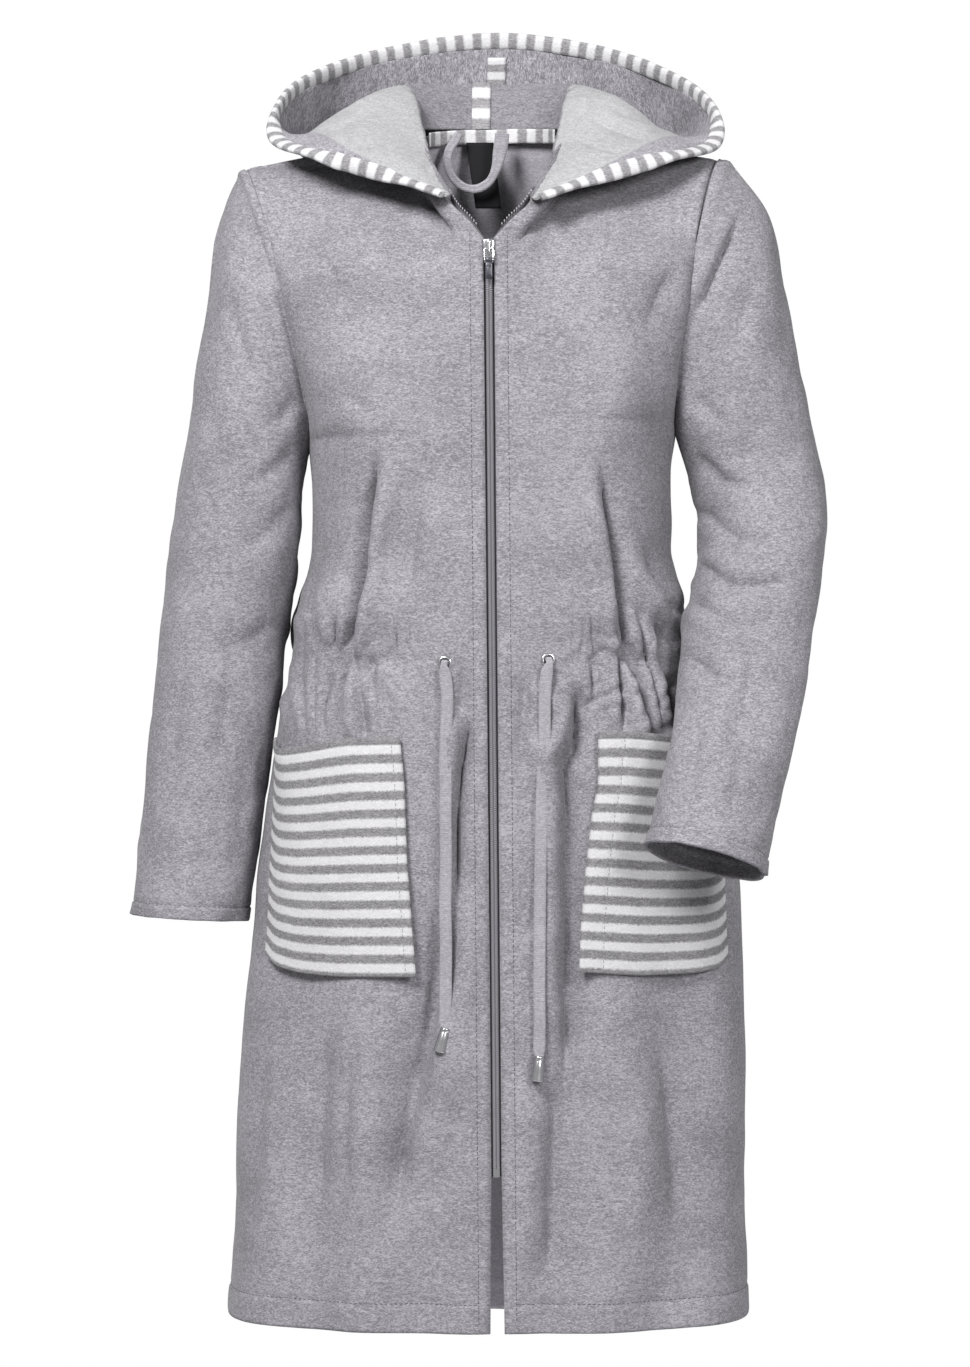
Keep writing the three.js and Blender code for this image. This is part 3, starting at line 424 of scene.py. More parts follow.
def grid_faces(nv, nu, base=0, wrap=False, flip=False):
    j, i = np.meshgrid(np.arange(nv - 1), np.arange(nu if wrap else nu - 1), indexing="ij")
    i2 = (i + 1) % nu
    a, b, c, d = j * nu + i, j * nu + i2, (j + 1) * nu + i2, (j + 1) * nu + i
    f = np.stack([a, b, c, d], -1).reshape(-1, 4) + base
    return f[:, ::-1] if flip else f


def shell(name, P, t, outward, attrs=None, mats=(), face_mat=None, wrap=False, taper=True, inner=0):
    """closed cloth shell round the middle surface P (rows, columns, 3); outward gives the sign of the normal"""
    nv, nu = P.shape[:2]
    N = normals_of(P, wrap) * outward
    th = np.full((nv, nu), t / 2.0)
    if taper:          # edges a little thinner, so they read as folded cloth and not as a cut board
        th[0] *= 0.75; th[-1] *= 0.75
        if not wrap:
            th[:, 0] *= 0.75; th[:, -1] *= 0.75
    A = P + N * th[..., None]
    B = P - N * th[..., None]
    verts = np.concatenate([A.reshape(-1, 3), B.reshape(-1, 3)])
    n = nv * nu
    flip = outward > 0
    fa = grid_faces(nv, nu, 0, wrap, flip=not flip)
    fb = grid_faces(nv, nu, n, wrap, flip=flip)
    if face_mat is not None:
        fm = [np.asarray(face_mat).ravel(), np.asarray(face_mat).ravel()]
    else:
        fm = [np.zeros(len(fa), int), np.full(len(fb), inner)]
    fs = [fa, fb]

    def seam(idx, forward):
        idx = np.asarray(idx)
        a, b = idx[:-1], idx[1:]
        q = np.stack([a, b, b + n, a + n], -1)
        if forward:
            q = q[:, ::-1]
        fs.append(q)
        fm.append(np.zeros(len(q), int))
    up = np.arange(nu) if not wrap else np.append(np.arange(nu), 0)
    lo = (nv - 1) * nu + up
    seam(up, flip)
    seam(lo, not flip)
    if not wrap:
        seam(np.arange(nv) * nu, not flip)
        seam(np.arange(nv) * nu + nu - 1, flip)
    at2 = {k: np.concatenate([np.asarray(v).ravel()] * 2) for k, v in (attrs or {}).items()}
    ob = make_mesh(name, verts, np.concatenate(fs), at2, mats, np.concatenate(fm))
    return ob, A, N


def tree_of(A):
    nv, nu = A.shape[:2]
    return BVHTree.FromPolygons([Vector(p) for p in A.reshape(-1, 3)], grid_faces(nv, nu).tolist())


EYE = Vector((EYE_X, -EYE_D, EYE_Z))


def hit(tree, h, v):
    q = at(h, v, 0.0)
    d = (Vector(q) - EYE).normalized()
    loc, nor, _, _ = tree.ray_cast(EYE, d, 6000)
    if loc is None:
        return None, None
    if nor.y > 0:
        nor = -nor
    return np.array(loc), np.array(nor)


def stitches(name, runs, mat, body, length=2.7, gap=1.5, width=0.62, height=0.34, lift=0.12):
    """runs: list of (points, normals); one small rounded thread loop per stitch"""
    V, F = [], []
    prof = [(-0.5, 0.0, 0.0), (-0.42, 0.5, 0.25), (-0.42, -0.5, 0.25), (-0.3, 0.0, 1.0), (0.3, 0.0, 1.0), (0.42, 0.5, 0.25), (0.42, -0.5, 0.25), (0.5, 0.0, 0.0)]
    fc = [(0, 1, 3), (0, 3, 2), (1, 5, 4, 3), (2, 3, 4, 6), (4, 5, 7), (4, 7, 6), (0, 2, 6, 7, 5, 1)]
    for pts, nor in runs:
        pts = np.asarray(pts, float); nor = np.asarray(nor, float)
        seg = np.linalg.norm(np.diff(pts, axis=0), axis=1)
        L = np.concatenate([[0], np.cumsum(seg)])
        s = np.arange(length / 2, L[-1] - length / 2, length + gap)
        for x in s:
            c = np.array([np.interp(x, L, pts[:, k]) for k in range(3)])
            a = np.array([np.interp(x + 0.4, L, pts[:, k]) for k in range(3)]) - np.array([np.interp(x - 0.4, L, pts[:, k]) for k in range(3)])
            a /= max(np.linalg.norm(a), 1e-9)
            n = np.array([np.interp(x, L, nor[:, k]) for k in range(3)]); n /= np.linalg.norm(n)
            b = np.cross(n, a); b /= max(np.linalg.norm(b), 1e-9)
            base = len(V)
            for px, py, pz in prof:
                V.append(c + a * px * length + b * py * width + n * (lift + pz * height - 0.1))
            F += [tuple(base + q for q in f) for f in fc]
    ob = make_mesh(name, V, F, None, [mat])
    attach(ob, body)
    return ob


# ------------------------------------------------------------------ materials
def new_mat(name, metallic=0.0, rough=0.9, sheen=0.0):
    m = bpy.data.materials.new(name)
    m.use_nodes = True
    nt = m.node_tree
    b = nt.nodes["Principled BSDF"]
    b.inputs["Metallic"].default_value = metallic
    b.inputs["Roughness"].default_value = rough
    if rough > 0.8:
        b.inputs["Specular IOR Level"].default_value = 0.15
    if sheen:
        b.inputs["Sheen Weight"].default_value = sheen
        b.inputs["Sheen Roughness"].default_value = 0.6
    return m, nt, b


def noise(nt, scale, detail=2.0, rough=0.55, distortion=0.0, src=None):
    tc = src or nt.nodes.new("ShaderNodeTexCoord")
    mp = nt.nodes.new("ShaderNodeMapping")
    mp.inputs["Scale"].default_value = scale
    nt.links.new(tc.outputs["Object"], mp.inputs["Vector"])
    n = nt.nodes.new("ShaderNodeTexNoise")
    n.inputs["Scale"].default_value = 1.0
    n.inputs["Detail"].default_value = detail
    n.inputs["Roughness"].default_value = rough
    n.inputs["Distortion"].default_value = distortion
    nt.links.new(mp.outputs["Vector"], n.inputs["Vector"])
    return n.outputs["Fac"]


def math_node(nt, op, a, b=None, clamp=False):
    n = nt.nodes.new("ShaderNodeMath")
    n.operation = op
    n.use_clamp = clamp
    for i, v in enumerate((a, b)):
        if v is None:
            continue
        if hasattr(v, "is_linked") or hasattr(v, "node"):
            nt.links.new(v, n.inputs[i])
        else:
            n.inputs[i].default_value = v
    return n.outputs[0]


def ramp(nt, fac, stops):
    r = nt.nodes.new("ShaderNodeValToRGB")
    e = r.color_ramp.elements
    while len(e) < len(stops):
        e.new(0.5)
    for el, (p, c) in zip(e, stops):
        el.position = p
        el.color = (*c, 1)
    nt.links.new(fac, r.inputs["Fac"])
    return r.outputs["Color"]


def mix(nt, fac, a, b):
    n = nt.nodes.new("ShaderNodeMix")
    n.data_type = "RGBA"
    if hasattr(fac, "node"):
        nt.links.new(fac, n.inputs[0])
    else:
        n.inputs[0].default_value = fac
    for i, v in ((6, a), (7, b)):
        if hasattr(v, "node"):
            nt.links.new(v, n.inputs[i])
        else:
            n.inputs[i].default_value = (*v, 1)
    return n.outputs[2]


def lin(*rgb):
    return tuple(((c / 255 + 0.055) / 1.055) ** 2.4 if c > 10 else c / 255 / 12.92 for c in rgb)


def bump(nt, b, height, strength=0.5, dist=0.0008):
    n = nt.nodes.new("ShaderNodeBump")
    n.inputs["Strength"].default_value = strength
    n.inputs["Distance"].default_value = dist
    nt.links.new(height, n.inputs["Height"])
    nt.links.new(n.outputs["Normal"], b.inputs["Normal"])


GAIN = 0.415            # reflectance against the tone wanted in soft light


def tone(v, tint=(1.0, 0.966, 1.058)):
    c = lin(v, v, v)
    return tuple(min(1, x * GAIN * t) for x, t in zip(c, tint))


def melange(nt, mean, spread, vertical=False, tint=(1.0, 0.966, 1.058)):
    """yarns of two tones knitted together: short flecks along the courses, soft clouds over them"""
    tc = nt.nodes.new("ShaderNodeTexCoord")
    s1 = (1050, 1050, 300) if vertical else (500, 500, 1250)
    s2 = (300, 300, 110) if vertical else (170, 170, 480)
    fleck = noise(nt, s1, 2.5, 0.6, 0.3, tc)
    cloud = noise(nt, s2, 2.0, 0.5, 0.4, tc)
    wide = noise(nt, (16, 16, 26), 2.0, 0.5, 0.0, tc)
    f = math_node(nt, "ADD", math_node(nt, "MULTIPLY", fleck, 0.60), math_node(nt, "MULTIPLY", cloud, 0.24))
    f = math_node(nt, "ADD", f, math_node(nt, "MULTIPLY", wide, 0.13))
    a, b_, c = tone(mean - spread, tint), tone(mean, tint), tone(mean + spread * 0.85, tint)
    return ramp(nt, f, [(0.40, a), (0.50, b_), (0.59, c)]), fleck, tc


def pile(nt, b, tc, strength=0.5):
    h1 = noise(nt, (1500, 1500, 1500), 2.0, 0.6, 0.0, tc)
    h2 = noise(nt, (520, 520, 620), 2.0, 0.6, 0.0, tc)
    bump(nt, b, math_node(nt, "ADD", math_node(nt, "MULTIPLY", h1, 0.4), math_node(nt, "MULTIPLY", h2, 0.6)), strength, 0.0012)


def mat_towelling(name, mean, spread, vertical=False, strength=0.5):
    m, nt, b = new_mat(name, rough=0.95, sheen=0.06)
    col, fleck, tc = melange(nt, mean, spread, vertical)
    nt.links.new(col, b.inputs["Base Color"])
    pile(nt, b, tc, strength)
    return m


def attr(nt, name):
    a = nt.nodes.new("ShaderNodeAttribute")
    a.attribute_name = name
    return a.outputs["Fac"]


def mat_hood():
    m, nt, b = new_mat("hood_towelling", rough=0.95, sheen=0.06)
    # c1 is the hood's base tone, darker (148) than the body cloth; where it shows, inside the back of the neck below
    # the crest between the lining sides, that darkness is painted shade of the deep opening
    c1, fleck, tc = melange(nt, 148, 26)
    c2, _, _ = melange(nt, 191, 18, False, (0.995, 0.995, 1.015))
    c3, _, _ = melange(nt, 172, 40, True)
    col = mix(nt, attr(nt, "pouch"), c1, c3)
    col = mix(nt, attr(nt, "lining"), col, c2)
    nt.links.new(col, b.inputs["Base Color"])
    pile(nt, b, tc, 0.7)
    return m


def mat_stripe(name, white, grey, softness=0.12, fuzz=0.22, strength=0.5):
    """bands from the distance kept in 'band': 0..1 white, 1..2 grey, 'plain' is a part with no bands"""
    m, nt, b = new_mat(name, rough=0.93, sheen=0.06)
    cw, fleck, tc = melange(nt, white, 10, False, (0.993, 0.984, 1.012))
    cg, _, _ = melange(nt, grey, 26, False, (1.0, 0.975, 1.02))
    d = attr(nt, "band")
    rag = noise(nt, (700, 700, 700), 2.0, 0.6, 0.0, tc)
    d = math_node(nt, "ADD", d, math_node(nt, "MULTIPLY", math_node(nt, "SUBTRACT", rag, 0.5), fuzz))
    f = math_node(nt, "FRACT", d)
    tri = math_node(nt, "ABSOLUTE", math_node(nt, "SUBTRACT", f, 0.25))      # 0 in the middle of white
    tri = math_node(nt, "MINIMUM", tri, math_node(nt, "ABSOLUTE", math_node(nt, "SUBTRACT", f, 1.25)))
    k = math_node(nt, "ADD", math_node(nt, "DIVIDE", math_node(nt, "SUBTRACT", tri, 0.25), softness), 0.5, clamp=True)
    k = math_node(nt, "MAXIMUM", k, attr(nt, "plain"))
    nt.links.new(mix(nt, k, cw, cg), b.inputs["Base Color"])
    pile(nt, b, tc, strength)
    return m


def mat_plain(name, rgb, metallic=0.0, rough=0.4, grain=None):
    m, nt, b = new_mat(name, metallic, rough)
    b.inputs["Base Color"].default_value = (*rgb, 1)
    if grain:
        h = noise(nt, grain[0], 2.0)
        bump(nt, b, h, grain[1], 0.0004)
    return m


M_TOWEL = mat_towelling("towelling", 164, 34)
M_HOOD = mat_hood()
M_POCKET = mat_stripe("striped_pocket", 228, 147)
M_TRIM = mat_stripe("striped_trim", 240, 164, 0.12, 0.12)
M_CASING = mat_towelling("towelling_inner", 160, 22)
# inside of the back at tone 212, lighter than the cloth: partly the paler reverse of the towelling, partly painted
# light that lifts the shadowed inside seen through the neck
M_REVERSE_AND_PAINTED_LIGHT = mat_towelling("towelling_reverse_painted_light", 212, 20)
M_THREAD = mat_plain("sewing_thread", tone(112), 0, 0.85)
M_THREAD_W = mat_plain("sewing_thread_pale", tone(172), 0, 0.8)
M_LABEL = mat_plain("label_cloth", lin(16, 16, 18), 0, 0.85, ((900, 900, 2600), 0.3))
# zip tape at tone 112, darker than the tape's own mid grey: the grey tape plus painted shade of the dark gaps between
# the panel edges and the coil
M_TAPE_AND_GAP_SHADE = mat_plain("zip_tape", tone(112), 0, 0.85, ((2600, 800, 2600), 0.4))
M_COIL = mat_plain("zip_coil", tone(176), 0.0, 0.45)
M_METAL = mat_plain("bright_metal", (0.50, 0.50, 0.52), 1.0, 0.2)
M_PULL = mat_plain("puller_dark", lin(58, 58, 64), 0.55, 0.35)


def mat_cord():
    m, nt, b = new_mat("drawcord", rough=0.85, sheen=0.2)
    col, fleck, tc = melange(nt, 176, 22)
    w = nt.nodes.new("ShaderNodeTexWave")
    w.wave_type = "BANDS"; w.bands_direction = "Z"
    w.inputs["Scale"].default_value = 210.0
    w.inputs["Distortion"].default_value = 1.2
    w.inputs["Detail"].default_value = 1.0
    nt.links.new(tc.outputs["Object"], w.inputs["Vector"])
    nt.links.new(mix(nt, math_node(nt, "MULTIPLY", w.outputs["Fac"], 0.25), col, tone(150)), b.inputs["Base Color"])
    bump(nt, b, w.outputs["Fac"], 0.35, 0.0005)
    return m


M_CORD = mat_cord()
# ------------------------------------------------------------------ sheets
PIECES = {}


def declare_sheet(ob, P, wrap=False, held="hung", **kw):
    du = np.linalg.norm((np.roll(P, -1, 1) - P) if wrap else np.diff(P, axis=1), axis=-1)
    dv = np.linalg.norm(np.diff(P, axis=0), axis=-1)
    nv = P.shape[0]
    a = np.cross((np.roll(P, -1, 1) - P)[:-1] if wrap else np.diff(P, axis=1)[:-1], (np.diff(P, axis=0) if wrap else np.diff(P, axis=0)[:, :-1]))
    area = np.linalg.norm(a, axis=-1).sum() * 1e-6
    w, l = du.sum(1).max() * MM, dv.sum(0).max() * MM
    area = min(area, w * l)
    if area < 0.31 * w * l:
        l = area / 0.5 / w
    PIECES[ob.name] = (float(w), float(l), float(area))


def make_panel(name, side, back, nu, nv):
    sides = (-1, 1) if back else (side,)
    cols = []
    for s in sides:
        u = np.linspace(0, 1, nu)
        if back and s == -1:
            u = u[::-1]
        elif back:
            u = u[1:]
        T = top_curve(s, back, u)
        hz = hem_z(back, u)
        v = np.linspace(0, 1, nv)[:, None]
        z = T[None, :, 2] + (hz - T[:, 2])[None] * v
        U = np.broadcast_to(u, z.shape)
        P = panel_z(s, back, U, z)
        d = back_relief(s, U, z, P) if back else front_relief(s, U, z, P)
        cols.append((P, d, U, z))
    P = np.concatenate([c[0] for c in cols], 1)
    d = np.concatenate([c[1] for c in cols], 1)
    U = np.concatenate([c[2] for c in cols], 1)
    out = 1 if (side > 0 if back else side < 0) else -1
    if back:
        out = 1
    N = normals_of(P) * out
    P = P + N * d[..., None]
    ob, A, NN = shell(name, P, CLOTH, out, mats=[M_TOWEL, M_REVERSE_AND_PAINTED_LIGHT], inner=1 if back else 0)
    return ob, P, A, NN, U


B_OB, B_P, B_A, B_N, B_U = make_panel("robe_back", 1, True, 84, 300)
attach(B_OB, "robe_shell"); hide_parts("back_panel"); declare_sheet(B_OB, B_P)
FRONT = {}
for side, nm in ((-1, "left"), (1, "right")):
    ob, P, A, N, U = make_panel("robe_front_" + nm, side, False, 112, 380)
    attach(ob, "robe_shell"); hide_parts("front_panel_" + nm); declare_sheet(ob, P)
    FRONT[side] = (ob, P, A, N, U, tree_of(A))


def row_pick(A, N, val, target):
    pts, nor = [], []
    for a, n, v in zip(A, N, val):
        if not (min(v[0], v[-1]) <= target <= max(v[0], v[-1])):
            continue
        o = np.argsort(v)
        i = np.interp(target, v[o], o.astype(float))
        j = int(min(len(v) - 2, i)); f = i - j
        pts.append(a[j] * (1 - f) + a[j + 1] * f); nor.append(n[j] * (1 - f) + n[j + 1] * f)
    return np.array(pts), np.array(nor)


def col_pick(A, N, val, target):
    return row_pick(A.transpose(1, 0, 2), N.transpose(1, 0, 2), val.T, target)


runs = []
for side in (-1, 1):
    _, P, A, N, U, _ = FRONT[side]
    zx, _ = zip_at(A[..., 2])
    off = (A[..., 0] - zx) * side
    p, n = row_pick(A[4:-3], N[4:-3], off[4:-3], 15.5)
    runs.append((p, n))
    hz = hem_z(False, U)
    p, n = col_pick(A[:, 2:-2], N[:, 2:-2], (A[..., 2] - hz)[:, 2:-2], 24.0)
    runs.append((p, n))
p, n = col_pick(B_A[:, 2:-2], B_N[:, 2:-2], (B_A[..., 2] - hem_z(True, B_U))[:, 2:-2], 24.0)
runs.append((p, n))
ob = stitches("topstitching_body", runs, M_THREAD, "robe_shell")

# ------------------------------------------------------------------ sleeves
S_FOLDS = {
    -1: [([(243, 215), (262, 250), (286, 300)], 9, 3.0, -1, 0.3, 0.4), ([(215, 250), (238, 330), (268, 420)], 13, 3.0, 1, 0.4, 0.4),
         ([(300, 395), (280, 420), (250, 432)], 7, 3.6, 1, 0.2, 0.6), ([(298, 440), (270, 470), (232, 490)], 8, 3.2, -1, 0.2, 0.6),
         ([(296, 500), (262, 540), (212, 560)], 9, 2.8, 1, 0.2, 0.6), ([(285, 610), (250, 640), (205, 650)], 9, 2.4, -1, 0.3, 0.6),
         ([(200, 420), (214, 520), (206, 620)], 13, 2.6, 1, 0.4, 0.4), ([(235, 600), (226, 700), (214, 800)], 12, 2.8, -1, 0.4, 0.4),
         ([(180, 640), (178, 740), (170, 830)], 12, 2.2, 1, 0.4, 0.4), ([(250, 760), (238, 830), (228, 900)], 9, 2.0, 1, 0.4, 0.5)],
    1: [([(743, 208), (730, 238), (717, 265), (704, 296), (691, 322)], 5, 5.0, -1, 0.3, 0.3), ([(765, 250), (742, 320), (716, 390)], 13, 3.0, 1, 0.4, 0.4),
        ([(690, 395), (715, 420), (750, 432)], 7, 3.4, -1, 0.2, 0.6), ([(694, 450), (725, 480), (770, 492)], 8, 3.6, 1, 0.2, 0.6),
        ([(694, 505), (735, 540), (790, 545)], 8, 4.0, -1, 0.2, 0.5), ([(696, 560), (735, 585), (800, 580)], 7, 4.6, 1, 0.15, 0.4),
        ([(688, 600), (730, 625), (790, 622)], 7, 3.8, -1, 0.15, 0.5), ([(680, 650), (722, 680), (780, 690)], 9, 3.0, 1, 0.2, 0.5),
        ([(760, 600), (745, 690), (722, 780)], 12, 2.8, -1, 0.3, 0.4), ([(706, 690), (698, 750), (688, 820)], 9, 2.2, 1, 0.4, 0.4),
        ([(748, 720), (735, 780), (722, 850)], 9, 2.0, -1, 0.4, 0.5)]}
SLEEVES = {}
for side, nm in ((-1, "left"), (1, "right")):
    nu, nv = 104, 210
    k = np.linspace(0, 1, nv)[:, None]
    phi = np.linspace(0, TAU, nu + 1)[:-1][None]
    K, PH = np.broadcast_arrays(k, phi)
    P = sleeve_point(side, K, PH)
    out = 1 if side < 0 else -1
    N = normals_of(P, True) * out
    h, v = inv(P)
    front = smooth((0.35 - np.sin(PH)) / 0.5)
    d = folds(h, v, S_FOLDS[side], 0.75 if side < 0 else 1.1) * front
    arc = PH * 52
    d += 1.7 * vnoise(arc / 26 + 3 * side, K * 640 / 46, 40 + side) + 0.6 * vnoise(arc / 11, K * 640 / 17, 42 + side)
    back = 1 - front
    d += back * (2.6 * np.sin(TAU * (K * 640 / 74 + 0.3 * vnoise(arc / 60, K * 9, 44))) * gauss((K - 0.5) / 0.28))
    L = 640.0
    end = (1 - K) * L
    d += -0.9 * gauss((end - 25) / 1.7) + 0.7 * smooth((25 - end) / 3) + 1.0 * smooth((38 - end) / 38) * vnoise(arc / 12, K * 5, 46)
    d *= smooth(K * L / 9)
    d += 1.4 * gauss((K * L - 9) / 6) - 0.9 * gauss((K * L - 2.5) / 1.6)
    P[..., 0] -= side * 2.6 * (1 - smooth(K * L / 9))
    P = P + N * d[..., None]
    ob, A, NN = shell("robe_sleeve_" + nm, P, CLOTH, out, mats=[M_TOWEL], wrap=True)
    body = nm + "_sleeve"
    mid = np.array([-184, 0, -151.0]) if side < 0 else np.array([175, 0, -140.0])
    dr = np.array([side * 0.93, 0, -0.3676])
    s0 = float(((P[0] - mid) @ dr).max()) - 4
    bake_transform(ob)
    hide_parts("sleeve_" + nm); declare_sheet(ob, P, True)
    SLEEVES[side] = (ob, P, A, NN)
    j = int(round((1 - 25 / L) * (nv - 1)))
    pts = np.concatenate([A[j], A[j][:1]]); nn = np.concatenate([NN[j], NN[j][:1]])
    st = stitches("topstitching_cuff_" + nm, [(pts, nn)], M_THREAD, body)

# ------------------------------------------------------------------ hood
HL = [
    [(-35, -86, -67), (449, 196, -93), (446, 196, -96), (443, 196, -98), (440, 195, -99), (438, 194, -100), (436, 193, -100)],
    [(-44, -68, -49), (439, 183, -78), (432, 184, -84), (424, 184, -86), (416, 184, -86), (408, 182, -85), (400, 180, -84)],
    [(-58, -36, -22), (429, 160, -48), (405, 156, -60), (384, 157, -66), (360, 159, -66), (338, 159, -62), (318, 156, -54)],
    [(-64, 2, -3), (420, 126, -6), (380, 122, -14), (345, 128, -20), (318, 137, -20), (292, 142, -16), (271, 139, -8)],
    [(-60, 28, 1), (413, 98, 28), (372, 96, 26), (330, 122, 26), (300, 142, 32), (278, 126, 36), (277, 104, 36)],
    [(-47, 45, 3), (408, 91, 50), (395, 93, 64), ("m", -112, 84, 6), ("m", -132, 112, -38), ("m", -158, 112, 0), (306, 75, 84)],
    [(-26, 55, 4), (440, 92, 66), (438, 96, 84), ("m", -62, 112, -40), ("m", -84, 146, -112), ("m", -104, 160, -26), (385, 48, 132)]]
HC = [(0, 59, 4), (492, 93, 72), (492, 97, 88), ("m", 0, 122, -52), ("m", 0, 152, -146), ("m", 0, 172, -36), (497, 33, 150)]
HR = [
    [(33, -86, -70), (533, 199, -93), (536, 199, -96), (539, 198, -98), (542, 198, -99), (544, 197, -100), (547, 196, -100)],
    [(43, -68, -49), (541, 186, -78), (549, 187, -84), (558, 187, -86), (567, 186, -86), (576, 184, -85), (585, 182, -84)],
    [(58, -36, -22), (552, 162, -48), (576, 158, -60), (598, 159, -66), (622, 160, -66), (645, 160, -62), (668, 158, -54)],
    [(64, 2, -3), (561, 126, -6), (600, 124, -14), (636, 130, -20), (668, 140, -20), (698, 146, -16), (719, 144, -8)],
    [(60, 28, 1), (567, 98, 28), (608, 96, 26), (652, 122, 26), (684, 144, 32), (710, 128, 36), (715, 106, 36)],
    [(47, 45, 3), (571, 90, 50), (585, 92, 64), ("m", 112, 84, 6), ("m", 132, 112, -38), ("m", 158, 112, 0), (680, 76, 84)],
    [(26, 55, 4), (541, 92, 66), (543, 96, 84), ("m", 62, 112, -40), ("m", 84, 146, -112), ("m", 104, 160, -26), (604, 47, 132)]]


def hrow(row):
    out = []
    for i, q in enumerate(row):
        if q[0] == "m":
            out.append(np.array(q[1:], float))
        elif i == 0:
            out.append(np.array(q, float))
        else:
            out.append(at(q[0], q[1], q[2]))
    return out


NET = np.array([hrow(r) for r in HL] + [hrow(HC)] + [hrow(r) for r in HR[::-1]])


def hood_point(T, s):
    T, s = np.broadcast_arrays(np.asarray(T, float), np.asarray(s, float))
    n = NET.shape[0] - 1
    t = np.clip(T, 0, 14)
    i = np.minimum(n - 1, np.floor(t).astype(int)); r = (t - i)[..., None]
    m = NET.shape[1] - 1
    tt = np.clip(s, 0, 1) * m
    j = np.minimum(m - 1, np.floor(tt).astype(int)); q = (tt - j)[..., None]

    def cr(p0, p1, p2, p3, r):
        return 0.5 * ((2 * p1) + (p2 - p0) * r + (2 * p0 - 5 * p1 + 4 * p2 - p3) * r ** 2 + (3 * p1 - p0 - 3 * p2 + p3) * r ** 3)

    def row(a):
        return cr(NET[a, np.maximum(0, j - 1)], NET[a, j], NET[a, j + 1], NET[a, np.minimum(m, j + 2)], q)
    return cr(row(np.maximum(0, i - 1)), row(i), row(i + 1), row(np.minimum(n, i + 2)), r)


TT = np.linspace(0, 14, 281)
SS = np.linspace(0, 1, 401)
dense = hood_point(TT[:, None], SS[None])
seg = np.linalg.norm(np.diff(dense, axis=1), axis=-1)
left = np.concatenate([np.cumsum(seg[:, ::-1], 1)[:, ::-1], np.zeros((len(TT), 1))], 1)
HOODLEN = left[:, 0]
RIM = np.array([np.interp(-min(13.0, HOODLEN[i] * 0.6), -left[i], SS) for i in range(len(TT))])
rim_at = lambda T: np.interp(T, TT, RIM)
hood_len = lambda T: np.interp(T, TT, HOODLEN)

nT, nS = 300, 150
T = np.linspace(0, 14, nT)[None]
s = np.linspace(0, 1, nS)[:, None] * (rim_at(T) + 2.0 / hood_len(T))
P = hood_point(T, s)
S = np.broadcast_to(s, P.shape[:2]); TB = np.broadcast_to(T, P.shape[:2])
N0 = normals_of(P)
h, v = inv(P)
d = 0.8 * vnoise(TB * 3.1, S * 9, 50) + 0.35 * vnoise(TB * 9, S * 24, 51)
# diagonal creases of the turned-out lining and the soft folds of the pouch
tri = smooth((S - 1 / 6) / 0.05) * smooth((0.62 - S) / 0.08)
for pts, w, dep, rg, a, b in [([(690, 138), (650, 124), (600, 108)], 3.8, 2.3, 1, 0.3, 0.3), ([(680, 146), (635, 136), (585, 118)], 4.2, 2.4, -1, 0.3, 0.3), ([(640, 158), (600, 150), (566, 134)], 4.2, 2.0, 1, 0.3, 0.3),
                              ([(300, 142), (345, 126), (392, 104)], 4, 1.4, 1, 0.3, 0.3), ([(330, 156), (372, 148), (408, 130)], 4, 1.3, -1, 0.3, 0.3)]:
    d = d + tri * folds(h, v, [(pts, w, dep, rg, a, b)])
pouch_w = smooth((S - 0.62) / 0.1) * smooth((TB - 3.5) / 1.0) * smooth((10.5 - TB) / 1.0)
d = d + pouch_w * smooth((np.abs(TB - 7) - 0.12) / 0.5) * (2.2 * np.sin(TB * 5.2 + 3 * vnoise(S * 4, TB * 0.7, 52)) + 1.4 * vnoise(TB * 4, S * 7, 53))
d = d * smooth(S / 0.06) * smooth((1 - S) / 0.1 + 0.2) * smooth(TB / 0.8) * smooth((14 - TB) / 0.8)
P = P + N0 * d[..., None]
out = 1
# the lining covers only the two sides; the centre strip inside the back of the neck keeps the darker hood base tone,
# which there is painted shade
lining = smooth((S - 0.150) / 0.02) * smooth((0.66 - S) / 0.03) * np.maximum(smooth((5.25 - TB) / 0.25), smooth((TB - 8.75) / 0.25))
pouchA = smooth((S - 0.6) / 0.08)
ob, H_A, H_N = shell("robe_hood", P, 3.0, out, {"lining": lining, "pouch": pouchA}, [M_HOOD])
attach(ob, "robe_shell"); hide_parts("hood_panel_left", "hood_panel_right"); declare_sheet(ob, P, held="folded")
HOOD_P = P


